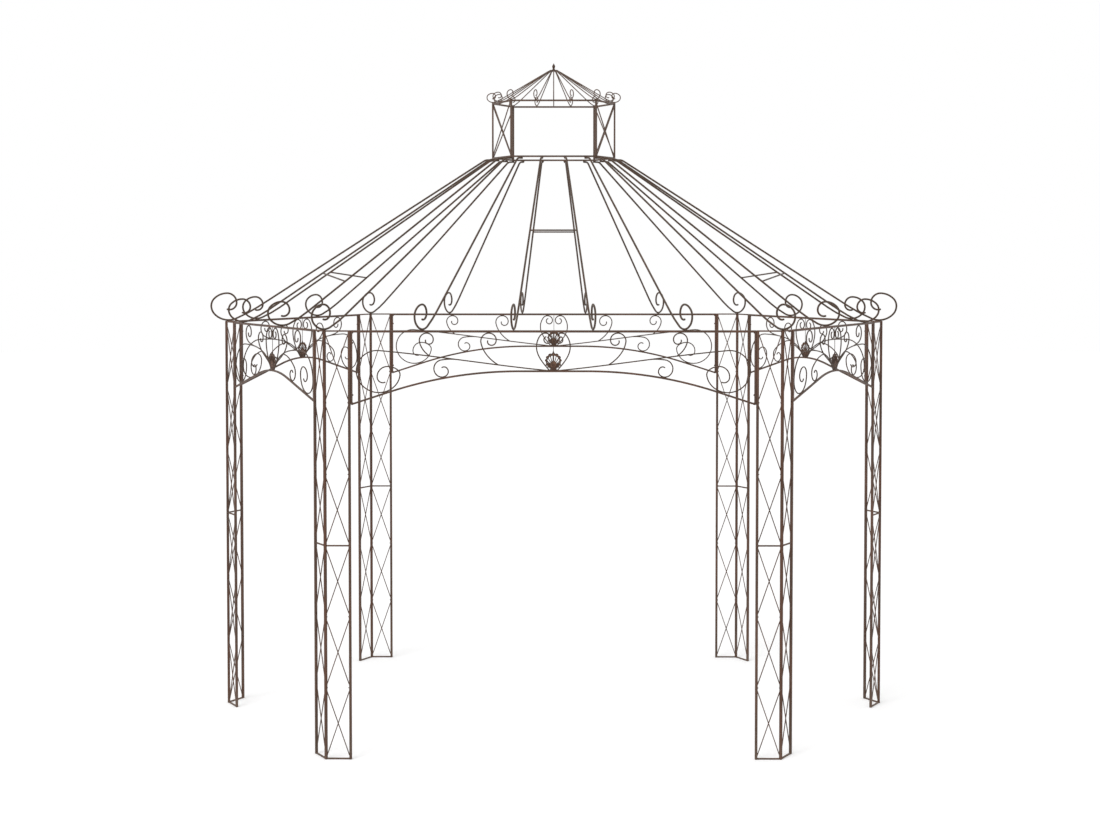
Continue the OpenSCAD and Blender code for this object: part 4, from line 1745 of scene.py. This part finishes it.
    def build(self, shop: Workshop) -> None:
        """Makes the lantern's pieces.

        Args:
            shop: The workshop that dresses and places them.
        """
        base, top = self.ring(self.site.lantern_z), self.ring(self.site.top_ring_z)
        for name, shape, node in (("base_frame", base, "base_ring"), ("top_frame", top, "top_ring"),
                                  ("uprights", self.posts(), "posts"),
                                  ("crossed_rods", self.braces(), "braces")):
            shop.place(f"lantern_{name}", shape, Slot.LANTERN, f"lantern_{node}")
        shop.place("cap_scrolled_ribs", self.ribs(), Slot.LANTERN, "cap_ribs")
        shop.place("finial_spear", self.finial(), Slot.ORNAMENT, "finial")


# ---- stage --------------------------------------------------------------------------------------

@dataclass
class Stage:
    """Pale floor, white surroundings, one soft sun, one square lamp and the camera.

    The lens is in millimetres on a film of the usual width, and the shift is a part of that width.
    The floor lies just under the feet. Aim is the height that the lamp faces.
    """

    lens: float = 62.902
    film: float = 36.0
    eye: tuple[float, float, float] = (0.014, -11.310, 2.708)
    pitch: float = -2.32
    yaw: float = 0.18
    shift: float = -0.08
    floor_r: float = 40.0
    floor_z: float = -0.0005
    floor_glow: float = 0.16
    sky: float = 0.78
    sun_turn: float = -32.0
    sun_rise: float = 52.0
    sun_width: float = 24.0
    sun_power: float = 0.8
    key_place: tuple[float, float, float] = (-4.5, -7.5, 6.0)
    key_size: float = 5.0
    key_power: float = 120.0
    aim: float = 1.6

    def camera(self) -> None:
        """The camera, which looks along +Y but for its pitch and yaw."""
        data = bpy.data.cameras.new("camera")
        data.lens, data.sensor_width = self.lens, self.film
        data.shift_y = self.shift
        data.clip_end = 100.0
        made = linked("camera", data)
        made.location = self.eye
        made.rotation_euler = tuple(np.radians([90 + self.pitch, 0.0, self.yaw]))
        bpy.context.scene.camera = made

    def world(self) -> None:
        """Even light from all round: white to the camera and in reflections, a little less as light."""
        made = bpy.data.worlds.new("studio")
        made.use_nodes = True
        w = Wiring(made.node_tree)
        shade = w.node("ShaderNodeBackground").inputs
        w.join((1, 1, 1, 1), shade["Color"])
        w.join(w.math("MULTIPLY_ADD", w.seen(), 1 - self.sky, self.sky), shade["Strength"])
        bpy.context.scene.world = made

    def floor(self) -> None:
        """A round, level floor: ring i of it lies at a radius that grows as the square of i."""
        radius = self.floor_r * np.linspace(0.02, 1, 12) ** 2
        disc = lathe(np.stack([radius, 0 * radius + self.floor_z], axis=1), 48)
        mesh = bpy.data.meshes.new("floor")
        mesh.from_pydata(disc.points.tolist(), [], disc.quads.tolist() + [disc.caps[0][::-1].tolist()])
        material = bpy.data.materials.new("pale_floor")
        material.use_nodes = True
        w = Wiring(material.node_tree)
        shader = w.node("ShaderNodeBsdfPrincipled").inputs
        for name, value in (("Base Color", (0.90, 0.90, 0.90, 1)), ("Roughness", 0.9),
                            ("Specular IOR Level", 0.0), ("Emission Color", (1, 1, 1, 1))):
            w.join(value, shader[name])
        w.join(w.math("MULTIPLY", w.seen(), self.floor_glow), shader["Emission Strength"])
        mesh.materials.append(material)
        linked("floor", mesh)

    def lamp(self) -> None:
        """A square lamp that faces the middle of the pavilion."""
        data = bpy.data.lights.new("key", "AREA")
        data.size, data.energy = self.key_size, self.key_power
        made = linked("key", data)
        made.location = self.key_place
        back = Vector(self.key_place) - Vector((0.0, 0.0, self.aim))
        made.rotation_euler = back.to_track_quat("Z", "Y").to_euler()

    def sun(self) -> None:
        """A broad, soft sun, which lights the whole floor alike."""
        data = bpy.data.lights.new("sun", "SUN")
        data.energy, data.angle = self.sun_power, float(np.radians(self.sun_width))
        linked("sun", data).rotation_euler = tuple(np.radians([90 - self.sun_rise, 0.0, self.sun_turn]))

    def build(self) -> None:
        """Sets the whole stage."""
        bpy.context.scene.view_settings.view_transform = "Standard"
        self.camera()
        self.world()
        self.floor()
        self.sun()
        self.lamp()


# ---- everything together ------------------------------------------------------------------------

def write_sizes() -> None:
    """Updates the view layer, so that every piece's transform is current."""
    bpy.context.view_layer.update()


def main() -> None:
    """Builds the pavilion, piece by piece."""
    logging.basicConfig(level=logging.INFO, format="%(name)s: %(message)s")
    site = Site()
    shop = Workshop()
    for corner in range(6):
        Column(site, corner).build(shop)
    arches = [ArchedBay.of(site, bay) for bay in Bay]
    for arch in arches:
        arch.build(shop)
    shells = joined([Shell(arch).placed() for arch in arches])
    shop.place("shell_castings", shells, Slot.ORNAMENT, "shell_ornaments")
    Roof(site).build(shop)
    Lantern(site).build(shop)
    Stage().build()
    LOG.info("%d triangles in all", shop.triangles)
    write_sizes()


if __name__ == "__main__":
    main()
